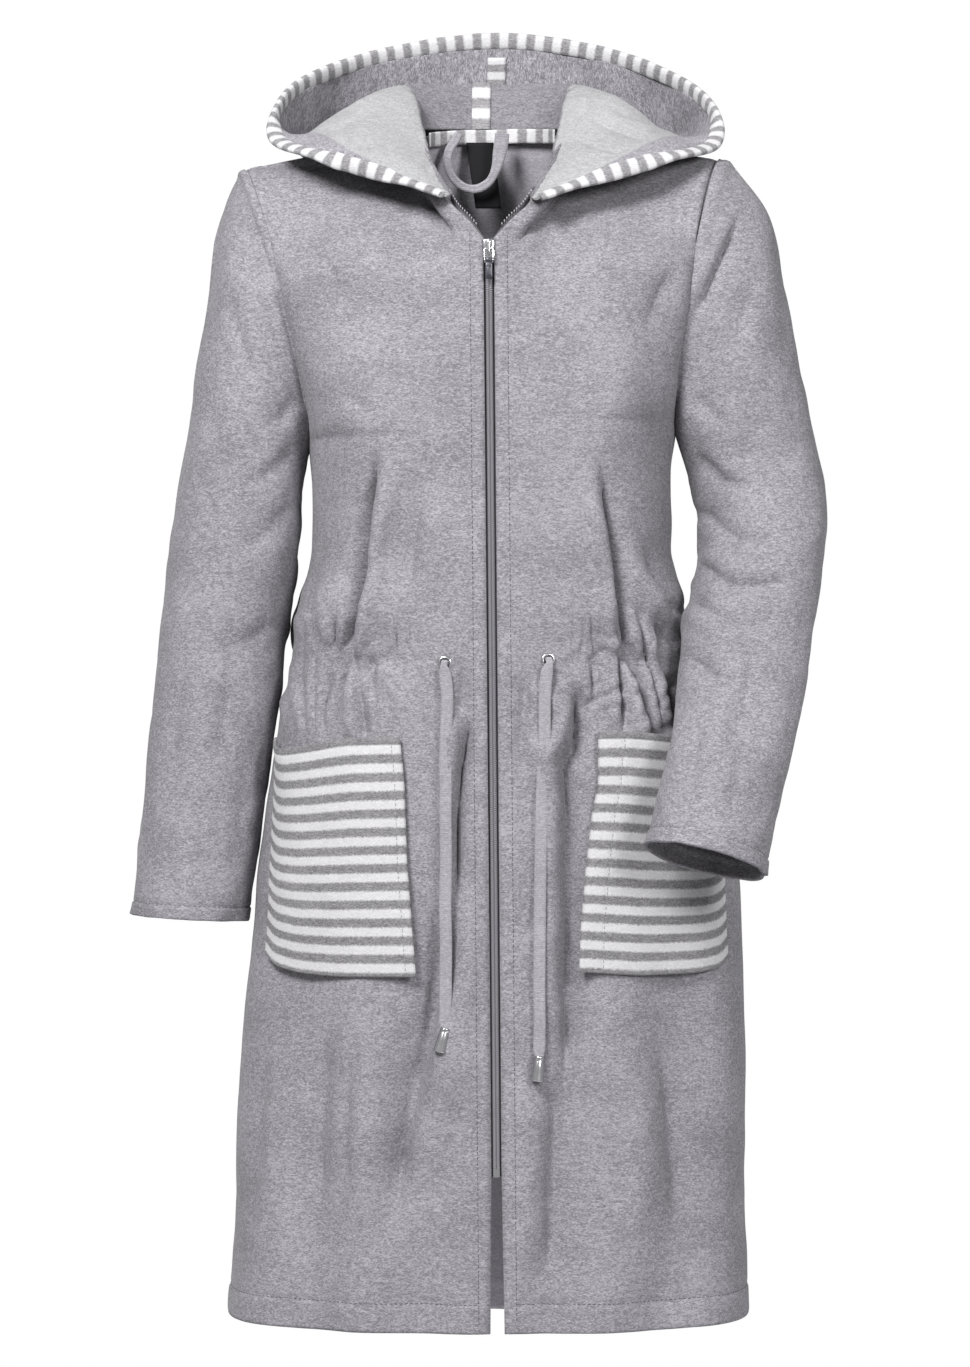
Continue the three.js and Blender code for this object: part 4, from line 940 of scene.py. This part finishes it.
def sweep(name, C, S1, S2, a, b, mats, nr=16, attrs=None, power=1.0, caps=True, dent=0.0):
    """closed body along C with elliptical section: half width a along S1, half height b along S2 (arrays allowed)"""
    n = len(C)
    th = np.linspace(0, TAU, nr + 1)[:-1]
    cx = np.sign(np.cos(th)) * np.abs(np.cos(th)) ** power
    cy = np.sign(np.sin(th)) * np.abs(np.sin(th)) ** power
    a = np.broadcast_to(np.asarray(a, float), (n,)); b = np.broadcast_to(np.asarray(b, float), (n,))
    dn = 1 - dent * gauss(cx / 0.22) * (cy > 0)
    V = C[:, None] + S1[:, None] * (a[:, None] * cx)[..., None] + S2[:, None] * (b[:, None] * cy * dn)[..., None]
    F = grid_faces(n, nr, 0, True)
    V = V.reshape(-1, 3)
    c0, c1 = len(V), len(V) + 1
    V = np.concatenate([V, C[:1], C[-1:]])
    i = np.arange(nr); i2 = (i + 1) % nr
    cap0 = np.stack([np.full(nr, c0), i2, i], -1)
    base = (n - 1) * nr
    cap1 = np.stack([np.full(nr, c1), base + i, base + i2], -1)
    faces = [tuple(f) for f in F] + [tuple(f) for f in cap0] + [tuple(f) for f in cap1]
    # outward test
    mid = n // 2
    t = C[min(n - 1, mid + 1)] - C[mid - 1]
    if np.dot(np.cross(S1[mid], S2[mid]), t) > 0:
        faces = [f[::-1] for f in faces]
    at2 = {}
    for k, val in (attrs or {}).items():
        vv = np.repeat(np.asarray(val, float), nr)
        at2[k] = np.concatenate([vv, [val[0], val[-1]]])
    return make_mesh(name, V, faces, at2, mats)


def arclen(C):
    return np.concatenate([[0], np.cumsum(np.linalg.norm(np.diff(C, axis=0), axis=1))])


# rim binding
T = np.linspace(0.02, 13.98, 460)
r = rim_at(T)
P0, P1 = hood_point(T, r - 1.0 / hood_len(T)), hood_point(T, np.ones_like(T))
C = (P0 + P1) / 2
tan = np.gradient(C, axis=0); tan /= np.linalg.norm(tan, axis=1, keepdims=True)
S1 = P1 - P0; W = np.linalg.norm(S1, axis=1); S1 /= W[:, None]
S1 -= tan * (S1 * tan).sum(1)[:, None]; S1 /= np.linalg.norm(S1, axis=1, keepdims=True)
S2 = np.cross(tan, S1)
Ls = arclen(C)
endf = smooth(np.minimum(Ls, Ls[-1] - Ls) / 14 + 0.2)
wob = 1 + 0.04 * vnoise(Ls / 11, Ls * 0, 60)
PERIOD = 15.9
ob = sweep("robe_hood_rim", C, S1, S2, np.maximum(W / 2, 6.1) * wob * (0.93 + 0.07 * endf) + 0.1, 3.3 * (0.85 + 0.15 * endf), [M_TRIM], 20, {"band": Ls / PERIOD + 0.1, "plain": Ls * 0}, 0.85)
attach(ob, "robe_shell"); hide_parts("hood_rim_binding")


def ribbon(name, rows, t, mats, attrs, body="robe_shell", nu=7):
    """flat tape: rows of (left point, right point)"""
    A0 = np.array([r[0] for r in rows]); A1 = np.array([r[1] for r in rows])
    f = np.linspace(0, 1, nu)[None, :, None]
    P = A0[:, None] * (1 - f) + A1[:, None] * f
    at2 = {k: np.repeat(np.asarray(v, float)[:, None], nu, 1) for k, v in attrs.items()}
    ob, A, N = shell(name, P, t, 1, at2, mats)
    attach(ob, body)
    return ob, P


for nm, s0, s1, ph in (("lower", 0.0, 0.60, 0.5), ("upper", 0.73, float(rim_at(7.0)) - 0.012, 0.1)):
    ss = np.linspace(s0, s1, 60)
    p = hood_point(np.full(60, 7.0), ss)
    dd = hood_point(np.full(60, 7.0), ss + 1e-3) - hood_point(np.full(60, 7.0), ss - 1e-3)
    dd /= np.linalg.norm(dd, axis=1, keepdims=True)
    nn = np.cross(np.array([[1.0, 0, 0]]), dd); nn /= np.linalg.norm(nn, axis=1, keepdims=True)
    q = p + nn * 2.6
    hw = 8.0
    shift = np.array([lerp(-9.5, -8.5, i / 59) if nm == "lower" else lerp(4.5, 0.5, i / 59) for i in range(60)])
    rows = [(q[i] + np.array([-hw + shift[i], 0, 0]), q[i] + np.array([hw + shift[i], 0, 0])) for i in range(60)]
    L = arclen(q)
    vq = inv(q)[1]
    bd = (vq - 88.0) / 20.5 if nm == "lower" else (vq - 42.0) / 15.0
    if nm == "lower":      # past the fold the bands go on at their own spacing
        top_i = int(np.argmin(vq)); bd[top_i:] = bd[top_i] - (L[top_i:] - L[top_i]) / PERIOD
    ob, _ = ribbon("robe_hood_tape_" + nm, rows, 1.4, [M_TRIM], {"band": bd + 10, "plain": L * 0})
    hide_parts("hood_centre_tape_" + nm)

# neck tape
rows, hl = [], []
for i in range(81):
    u = lerp(-1, 1, i / 80); a = abs(u)
    p = spline(NECK_BACK, np.array(a * 0.78))
    if u > 0:
        p = p * np.array([-1, 1, 1])
    inw = np.array([-p[0] * 0.6, -60, 0]); inw /= np.linalg.norm(inw)
    p = p + inw * (5.8 + 3.6 * a * a)
    rows.append((p + np.array([0, 0, -8.8 + 1.5 * u]), p + np.array([0, 0, 3.6 + 1.5 * u]))); hl.append(p)
L = arclen(np.array(hl))
ob, _ = ribbon("robe_neck_tape", rows, 1.6, [M_TRIM], {"band": (L - L[40]) / 18.4 + 0.28, "plain": L * 0})
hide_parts("neck_tape")


def smooth_path(pts, n):
    pts = np.asarray(pts, float)
    t = np.linspace(0, 1, n)
    C = spline(pts, t)
    L = arclen(C)
    s = np.linspace(0, L[-1], n)
    return np.stack([np.interp(s, L, C[:, k]) for k in range(3)], 1)


# hanger loop
LY, LZ = 33.4, -8.0
x0, x1, zb, r = at(448.5, 150, 50)[0], at(504.5, 150, 50)[0], zof(190.5, 50), 9
LOOPH = [(459, 136), (455.5, 143), (449.5, 152), (447.3, 165), (452.5, 179), (463, 188.5), (476, 191), (488.5, 184.5), (496, 171), (499.5, 155), (501.5, 143), (502, 136)]
C = smooth_path([(float(at(h_, v_, 50)[0]), LY, float(at(h_, v_, 50)[2])) for h_, v_ in LOOPH], 150)
tan = np.gradient(C, axis=0); tan /= np.linalg.norm(tan, axis=1, keepdims=True)
S2 = np.tile(np.array([[0, -1.0, 0]]), (150, 1)); S1 = np.cross(tan, S2)
tl = np.linspace(0, 1, 150)
ob = sweep("robe_hanger_loop", C, S1, S2, (3.7 + 2.6 * smooth((tl - 0.66) / 0.25)) * (1 + 0.05 * vnoise(arclen(C) / 8, 0 * C[:, 0], 61)), 2.3, [M_CORD], 28, None, 0.8, dent=0.35)
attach(ob, "neck_loop"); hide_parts("hanger_loop")
# blank label
a, b, c, d4 = at(466, 143, 50), at(493.5, 143, 50), at(475.5, 209, 50), at(501, 209, 50)
rows = []
for i in range(24):
    t = i / 23
    l, rr = lerp(a, c, t), lerp(b, d4, t)
    y = 47.6 - 1.5 * math.sin(t * math.pi * 0.9) - 1.2 * t
    rows.append((np.array([l[0], y, l[2]]), np.array([rr[0], y + 0.6, rr[2]])))
ob, P = ribbon("robe_neck_label", rows, 0.7, [M_LABEL], {})
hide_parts("neck_label")

# ------------------------------------------------------------------ pockets
ug = np.linspace(0, 1, 700)


def on_front(side, u, z):
    p = panel_z(side, False, u, z)
    e = 1e-3
    a = panel_z(side, False, np.minimum(1, u + e), z) - panel_z(side, False, u - e, z)
    b = panel_z(side, False, u, z - 0.5) - panel_z(side, False, u, z + 0.5)
    n = np.cross(a, b) * (1 if side < 0 else -1)
    return p, n / np.linalg.norm(n, axis=-1, keepdims=True)


def u_of_x(side, x, z):
    xs = panel_z(side, False, ug, np.full_like(ug, z))[:, 0] * side
    return float(np.interp(x * side, xs, ug))


for side, nm, inner, outer, vt, vb, first in (
        (-1, "left", [(739, 401), (780, 405), (863, 408), (929, 413), (977, 417)], [(739, 286), (758, 286), (780, 284), (846, 281), (912, 278), (977, 274)], [(0, 738), (0.3, 741), (0.6, 748), (0.82, 752), (0.93, 749), (1, 738)], [(0, 977), (0.4, 977.5), (0.68, 975), (0.88, 969), (0.96, 962), (1, 956)], 7.6),
        (1, "right", [(734, 597), (785, 597), (816, 591), (871, 585), (927, 580), (975, 578)], [(734, 706), (780, 709), (880, 714), (975, 718)], [(0, 733), (0.15, 734), (0.5, 741), (0.8, 744), (1, 734)], [(0, 972), (0.3, 976), (0.7, 975), (0.9, 971), (0.97, 965), (1, 959)], 7.2)):
    nu, nv = 90, 150
    uu, vv = np.linspace(0, 1, nu), np.linspace(0, 1, nv)
    top = np.interp(uu, *zip(*vt)); bot = np.interp(uu, *zip(*vb))
    ker = np.ones(9) / 9
    top = np.convolve(np.pad(top, 4, mode="edge"), ker, "valid"); bot = np.convolve(np.pad(bot, 4, mode="edge"), ker, "valid")
    P = np.zeros((nv, nu, 3)); band = np.zeros((nv, nu)); plain = np.zeros((nv, nu))
    for j, v in enumerate(vv):
        vm = top + (bot - top) * v
        z = zof(vm, -118)
        hi = np.interp(lerp(top[0], bot[0], v), *zip(*inner))
        xi = float(at(hi, 0, -118)[0])
        ui = u_of_x(side, xi, float(z[0]))
        ho = np.interp(lerp(top[0], bot[0], v), *zip(*outer))
        uo = u_of_x(side, float(at(ho, 0, -20)[0]), float(z[-1]))
        U = lerp(ui, uo, uu)
        p, n = on_front(side, U, z)
        # the same low folds as the cloth behind, the puff of the bag and its open mouth
        hh, vx = inv(p)
        puff = np.sin(math.pi * uu ** (1.0 if side < 0 else 0.75)) ** 0.6 * (1 - v ** 5) * (0.55 + 0.45 * (1 - v))
        low = 2.0 * np.sin(TAU * (hh / 118 + 0.18 * vnoise(vx / 240, hh / 200, 9)) + 0.6)
        low += 1.1 * vnoise(hh / 30, vx / 44, 70 + side) + 0.4 * vnoise(hh / 12, vx / 17, 72 + side)
        edge_in = np.minimum(uu * 115, 999)
        o = CLOTH / 2 + 1.2 + 1.6 + 5.5 * puff + low * 0.7 * smooth(edge_in / 20) + 1.4
        o = o + 3.0 * gauss((uu - 0.9) / 0.14) * gauss(v / 0.12)
        o = o - 0.8 * gauss((edge_in - 0) / 2.2) - 0.5 * gauss((edge_in - (13 if side > 0 else 5.5)) / 1.2)
        if v > 0:
            o = o - 0.5 * gauss((v * 200 - 6.2) / 1.1)
        P[j] = p + n * o[..., None]
        cc = v * (bot[0] - top[0]) * (0.25 + 0.75) + 0 * uu
        band[j] = (cc - first) / 18.15
        lo = (bot[0] - top[0]) - 3.5
        plain[j] = np.where((cc < first - 0.6) | (cc > lo), 1.0, 0.0)
    out = 1 if side < 0 else -1
    ob, A, N = shell("robe_pocket_" + nm, P, 3.0, out, {"band": band - 0.0, "plain": plain}, [M_POCKET])
    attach(ob, "robe_shell"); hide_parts("pocket_" + nm); declare_sheet(ob, P)
    runs = [(A[3, 2:-2], N[3, 2:-2])]
    jx = 4 if side < 0 else 10
    runs.append((A[2:-1, jx], N[2:-1, jx]))
    st = stitches("topstitching_pocket_" + nm, runs, M_THREAD_W, "robe_shell", 2.6, 1.4)

# ------------------------------------------------------------------ waist casing, inside
def waist_line(off, z, u0):
    pts = []
    for side, back, us in ((-1, False, np.linspace(u0, 0.95, 30)), (-1, True, np.linspace(0.95, 0, 30)), (1, True, np.linspace(0, 0.95, 30)[1:]), (1, False, np.linspace(0.95, u0, 30))):
        zz = np.full_like(us, z)
        p = panel_z(side, back, us, zz)
        e = 1e-3
        a = panel_z(side, back, np.minimum(1, us + e), zz) - panel_z(side, back, np.maximum(us - e, 0), zz)
        n = np.cross(a, np.array([0, 0, -1.0]))
        n *= (1 if side < 0 else -1) * (-1 if back else 1)
        n /= np.linalg.norm(n, axis=-1, keepdims=True)
        pts.append(p + n * off)
    return np.concatenate(pts)


top, low = waist_line(-12, WAIST_Z + 13, 0.12), waist_line(-12, WAIST_Z - 13, 0.12)
ob, P = ribbon("robe_waist_casing", list(zip(top, low)), 1.6, [M_CASING], {})
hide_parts("waist_casing")

# ------------------------------------------------------------------ zip
D = ZIP_END - ZIP_TOP; ZLEN = float(np.linalg.norm(D)); D = D / ZLEN
EX = np.array([1.0, 0, 0]) - D * D[0]; EX /= np.linalg.norm(EX)
EN = np.cross(D, EX)
if EN[1] > 0:
    EN = -EN


def zp(x, n, s):
    return ZIP_TOP + D * s + EX * x + EN * n


def vrow(side, f, a, b, back):
    u = 0.03 + UN * 0.37 * f
    uu3 = np.array([u, u, u + 1e-3])
    T3 = top_curve(side, False, uu3)
    z = T3[:, 2].copy(); z[1] -= 9.0
    p = panel_z(side, False, uu3, z)
    down = p[1] - p[0]; down /= np.linalg.norm(down)
    n = np.cross(down, p[2] - p[0]); n /= np.linalg.norm(n)
    if n[1] < 0:
        n = -n
    return p[0] - down * a + n * back, p[0] - down * b + n * back


for side, nm in ((-1, "left"), (1, "right")):
    key = [(ZLEN + 4, 2.9, 13.4, -2.9), (210, 2.9, 13.4, -3.0), (110, 2.9, 8.0, -3.5), (1, 2.9, 5.6, -3.7)]
    ctrl = []
    for s_, xa, xb, n_ in key:
        ctrl.append((zp(side * (xa - 0.6), n_, s_), zp(side * xb, n_, s_)))
    rows = []
    for i in range(3):
        m_ = (120, 30, 30)[i]
        for j in range(m_):
            rows.append((lerp(ctrl[i][0], ctrl[i + 1][0], j / m_), lerp(ctrl[i][1], ctrl[i + 1][1], j / m_)))
    rows.append(ctrl[3])
    for f, a_, b_, k_ in ((0.25, 2.2, -2.5, 4.4), (0.6, 2.2, -3.2, 4.4), (1, 2.2, -4, 4.4)):
        q = vrow(side, f, a_, b_, k_)
        last = rows[-1]
        for j in range(1, 9):
            rows.append((lerp(last[0], q[0], j / 8), lerp(last[1], q[1], j / 8)))
    ob, _ = ribbon("robe_zip_tape_" + nm, rows, 0.9, [M_TAPE_AND_GAP_SHADE], {})
    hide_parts("zip_tape_" + nm)
    # coil: one leaning loop per tooth
    V, F = [], []
    pr = [(-0.5, 0.0, -0.5), (-0.46, 0.5, 0.0), (-0.46, -0.5, 0.0), (-0.4, 0.0, 0.5), (0.3, 0.0, 0.62), (0.42, 0.62, 0.1), (0.42, -0.62, 0.1), (0.5, 0.0, -0.3)]
    fc = [(0, 1, 3), (0, 3, 2), (1, 5, 4, 3), (2, 3, 4, 6), (4, 5, 7), (4, 7, 6), (0, 2, 6, 7, 5, 1)]
    pitch = 1.55
    for i in range(int((ZLEN - 4) / pitch)):
        s_ = 2 + i * pitch + (pitch / 2 if side > 0 else 0)
        c = zp(side * 1.35, -0.1, s_)
        ax = -side * EX * math.cos(0.30) + D * math.sin(0.30)
        bx = np.cross(EN, ax)
        base = len(V)
        for px, py, pz in pr:
            V.append(c + ax * px * 3.3 + bx * py * 1.05 + EN * pz * 1.7)
        F += [tuple(base + q for q in f) for f in fc]
    for i in range(14):       # open ends up the neckline
        f = 0.05 + 0.95 * i / 13
        a0, b0 = vrow(side, f, 5.2, 2.4, 3.3)
        c = (a0 + b0) / 2; ax = a0 - b0; ax /= np.linalg.norm(ax)
        nx = np.array([0, -1.0, 0]); nx = nx - ax * nx.dot(ax); nx /= np.linalg.norm(nx); bx = np.cross(nx, ax)
        base = len(V)
        for px, py, pz in pr:
            V.append(c + ax * px * 3.0 + bx * py * 1.05 + nx * pz * 1.6)
        F += [tuple(base + q for q in f_) for f_ in fc]
    ob = make_mesh("robe_zip_coil_" + nm, V, F, None, [M_COIL])
    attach(ob, "robe_shell"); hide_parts("zip_coil_" + nm)


def rounded_box(size, rad, n=6):
    """points and faces of a box with rounded edges, centred on 0"""
    size = np.asarray(size, float) / 2
    V, F = [], []
    g = np.linspace(-1, 1, n + 1)
    for ax in range(3):
        for sg in (-1, 1):
            u, v = np.meshgrid(np.tan(g * math.pi / 4), np.tan(g * math.pi / 4), indexing="ij")
            p = np.zeros((n + 1, n + 1, 3)); p[..., ax] = sg; p[..., (ax + 1) % 3] = u; p[..., (ax + 2) % 3] = v
            dirn = p / np.linalg.norm(p, axis=-1, keepdims=True)
            q = np.clip(p * 10, -1, 1) * np.maximum(size - rad, 0)
            q[..., ax] = sg * max(size[ax] - rad, 0)
            q[..., (ax + 1) % 3] = u * max(size[(ax + 1) % 3] - rad, 0)
            q[..., (ax + 2) % 3] = v * max(size[(ax + 2) % 3] - rad, 0)
            w = q + dirn * rad
            base = len(V)
            V += list(w.reshape(-1, 3))
            f = grid_faces(n + 1, n + 1, base)
            if sg > 0:
                f = f[:, ::-1]
            F += [tuple(x) for x in f]
    return np.array(V), F


def weld(name, parts, mat, body):
    V, F = [], []
    for v, f in parts:
        b_ = len(V)
        V += list(v); F += [tuple(x + b_ for x in q) for q in f]
    ob = make_mesh(name, V, F, None, [mat])
    import bmesh
    bm = bmesh.new(); bm.from_mesh(ob.data)
    bmesh.ops.remove_doubles(bm, verts=bm.verts, dist=2e-6)
    bmesh.ops.recalc_face_normals(bm, faces=bm.faces)
    bm.to_mesh(ob.data); bm.free()
    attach(ob, body)
    return ob


def zbox(w, t, l, rad, x, n, s_):
    v, f = rounded_box((w, t, l), rad)
    v = zp(x, n, s_) + v[:, :1] * EX + v[:, 1:2] * EN + v[:, 2:3] * D
    return v, f


SL = 11.0
ob = weld("robe_zip_slider", [zbox(8.0, 1.5, 19, 0.7, 0, 2.95, SL + 0.5), zbox(9.8, 1.5, 9, 0.7, 0, 2.95, SL - 5.6), zbox(9.4, 1.2, 18, 0.55, 0, -4.9, SL), zbox(0.42, 8.2, 7, 0.2, 0, -1.0, SL - 5),
                              zbox(2.6, 5.2, 2.2, 0.9, 0, 5.8, SL - 8.4), zbox(2.6, 5.2, 2.2, 0.9, 0, 5.8, SL + 2.4), zbox(2.6, 1.5, 13, 0.7, 0, 8.3, SL - 3)], M_METAL, "zip_slider")
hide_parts("zip_slider_body")
PA = SL - 1.2
ob = weld("robe_puller_link", [zbox(9.2, 1.4, 1.4, 0.6, 0, 6.0, PA), zbox(9.2, 1.4, 1.4, 0.6, 0, 6.0, PA + 8.7), zbox(1.4, 1.4, 10.1, 0.6, -3.9, 6.0, PA + 4.35), zbox(1.4, 1.4, 10.1, 0.6, 3.9, 6.0, PA + 4.35)], M_METAL, "zip_puller")
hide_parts("zip_puller_link")
ob = weld("robe_puller_tab", [zbox(6.2, 3.6, 3.6, 1.7, 0, 6.0, PA + 8.9), zbox(6.2, 1.6, 15, 0.7, 0, 6.0, PA + 17.8), zbox(4.0, 2.1, 9, 0.8, 0, 6.0, PA + 18.6)], M_PULL, "zip_puller")
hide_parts("zip_puller_tab")

# ------------------------------------------------------------------ eyelets, cords and tips
EYES = {-1: (np.array([-39.048, -111.713, -456.063]), np.array([-0.11619, -0.99216, 0.04604])), 1: (np.array([46.051, -110.510, -453.584]), np.array([0.16251, -0.98551, 0.04851]))}


def lathe(name, prof, o, axis, mat, body, seg=40, closed=False):
    prof = np.asarray(prof, float)
    ref = np.array([1.0, 0, 0]); ref = ref - axis * ref.dot(axis); ref /= np.linalg.norm(ref)
    o2 = np.cross(axis, ref)
    th = np.linspace(0, TAU, seg + 1)[:-1]
    ring = ref[None] * np.cos(th)[:, None] + o2[None] * np.sin(th)[:, None]
    V = o + prof[:, None, :1] * ring[None] + prof[:, None, 1:2] * axis
    n = len(prof)
    F = [tuple(f) for f in grid_faces(n, seg, 0, True)]
    if closed:
        b_ = (n - 1) * seg
        i = np.arange(seg); i2 = (i + 1) % seg
        F += [tuple(q) for q in np.stack([b_ + i, b_ + i2, i2, i], -1)]
    ob = make_mesh(name, V.reshape(-1, 3), F, None, [mat])
    import bmesh
    bm = bmesh.new(); bm.from_mesh(ob.data)
    bmesh.ops.remove_doubles(bm, verts=bm.verts, dist=1e-6)
    bmesh.ops.recalc_face_normals(bm, faces=bm.faces)
    bm.to_mesh(ob.data); bm.free()
    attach(ob, body)
    return ob


ROUTE = {-1: ([(445.5, 676), (447.5, 700), (445.5, 737), (445, 773), (446, 822), (446, 880), (446, 950), (446, 1029)], (439.5, 1051)),
         1: ([(547, 673), (544.5, 700), (545, 737), (542.5, 773), (541, 822), (540, 900), (539.5, 980), (539, 1057)], (537, 1080))}
for side, nm in ((-1, "left"), (1, "right")):
    p, n = EYES[side]
    a = np.linspace(0, TAU, 17)[:-1]
    prof = np.stack([4.55 + 1.35 * np.cos(a), 1.9 + 1.05 * np.sin(a)], 1)
    ob = lathe("robe_eyelet_" + nm, prof, p, n, M_METAL, "robe_shell", 44, True)
    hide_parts("eyelet_" + nm)
    pts = [p + n * 0.8, p + n * (1.6 + 3.4), p + n * (1.6 + 6.0) + np.array([0, 0, -3.5])]
    route, tip = ROUTE[side]
    for h_, v_ in route:
        q = at(h_, v_, -124)
        u = u_of_x(side, float(q[0]), float(q[2]))
        y = panel_z(side, False, np.array([u]), np.array([q[2]]))[0, 1]
        pts.append(np.array([q[0], y - 1.6 - 5.6, q[2]]))
    nC = 190
    C = smooth_path(pts, nC)
    L = arclen(C)
    C[:, 0] += 0.55 * vnoise(L / 34, L * 0 + side, 80) * smooth((L - 12) / 30)
    C[:, 1] += 0.5 * vnoise(L / 27, L * 0 + side + 3, 81) * smooth((L - 12) / 30)
    tan = np.gradient(C, axis=0); tan /= np.linalg.norm(tan, axis=1, keepdims=True)
    roll = 0.35 * vnoise(L / 60, L * 0 + side * 5, 82) * smooth((L - 15) / 30)
    S1 = np.array([1.0, 0, 0])[None] - tan * tan[:, :1]; S1 /= np.linalg.norm(S1, axis=1, keepdims=True)
    S2 = np.cross(tan, S1)
    S2 *= np.where(S2[:, 1:2] > 0, -1, 1)
    S1r = S1 * np.cos(roll)[:, None] + S2 * np.sin(roll)[:, None]; S2r = S2 * np.cos(roll)[:, None] - S1 * np.sin(roll)[:, None]
    wide = 2.7 + 2.4 * smooth((L - 5) / 12)
    wide = np.where(L > L[-1] - 8, lerp(5.1, 3.7, smooth((L - (L[-1] - 8)) / 8)), wide)
    thick = 2.3 - 0.5 * smooth((L - 5) / 12)
    body = nm + "_drawcord_end"
    ob = sweep("robe_drawcord_" + nm, C, S1r, S2r, wide, thick, [M_CORD], 24, None, 0.8, dent=0.30)
    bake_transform(ob)
    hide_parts("drawcord_" + nm)
    end = C[-1]
    q = at(tip[0], tip[1], -124)
    ax = np.array([q[0], end[1], q[2]]) - end; TL = float(np.linalg.norm(ax)); ax /= TL
    prof = [(0, -1.6), (3.7, -1.6), (4.15, -1.3), (4.3, -0.6), (4.3, 1.2), (4.05, 1.7), (4.3, 2.2), (4.75, TL * 0.5), (5.35, TL * 0.8), (5.7, TL - 0.9), (5.75, TL - 0.35), (5.5, TL), (4.9, TL), (4.7, TL - 0.4), (4.5, TL - 1.6), (2.6, TL - 2.2), (0, TL - 2.2)]
    t_ob = lathe("robe_cord_tip_" + nm, prof, end, ax, M_METAL, body, 36)
    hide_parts("cord_tip_" + nm)
    PIECES[ob.name] = (float(L[-1] * MM),)

# CAD parts whose shape is right only take their finish
for node, mat in (("eyelet_washer_left", M_METAL), ("eyelet_washer_right", M_METAL), ("zip_top_stop_left", M_METAL), ("zip_top_stop_right", M_METAL), ("zip_bottom_stop", M_METAL), ("drawcord_inner_run", M_CORD)):
    o = bpy.data.objects.get(node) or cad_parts[node]
    if isinstance(o, bpy.types.Object):
        if not o.material_slots:
            o.data.materials.append(mat)
        for sl in o.material_slots:
            sl.material = mat

# ------------------------------------------------------------------ floor and light
bpy.ops.mesh.primitive_plane_add(size=1)
floor = bpy.context.object
floor.name = "floor"
floor.scale = (2.4, 2.4, 1)
floor.location = (0, 0.2, -1.32)
fm, fnt, fb = new_mat("floor_pale", rough=0.9)
fb.inputs["Base Color"].default_value = (0.62, 0.62, 0.63, 1)
floor.data.materials.append(fm)
w = bpy.data.worlds.new("studio")
scene.world = w
w.use_nodes = True
w.node_tree.nodes["Background"].inputs["Color"].default_value = (1, 1, 1, 1)
# a white wall far behind the robe, and a dimmer room round it
wn = w.node_tree
wc = wn.nodes.new("ShaderNodeTexCoord")
wx = wn.nodes.new("ShaderNodeSeparateXYZ")
wn.links.new(wc.outputs["Generated"], wx.inputs["Vector"])
wr = wn.nodes.new("ShaderNodeMapRange")
wr.inputs["From Min"].default_value = 0.80
wr.inputs["From Max"].default_value = 0.93
wr.inputs["To Min"].default_value = 0.46
wr.inputs["To Max"].default_value = 1.0
wn.links.new(wx.outputs["Y"], wr.inputs["Value"])
wn.links.new(wr.outputs["Result"], wn.nodes["Background"].inputs["Strength"])


def area(name, loc, target, size, power):
    d = bpy.data.lights.new(name, "AREA")
    d.shape = "DISK"; d.size = size; d.energy = power
    o = bpy.data.objects.new(name, d)
    scene.collection.objects.link(o)
    o.location = loc
    o.rotation_euler = (Vector(target) - Vector(loc)).to_track_quat("-Z", "Y").to_euler()
    return o


area("key", (-1.15, -2.3, 1.5), (0, 0, -0.3), 1.15, 203)
area("fill", (1.8, -2.9, 0.7), (0, 0, -0.4), 1.0, 106)
scene.view_settings.view_transform = "Standard"
scene.view_settings.look = "None"
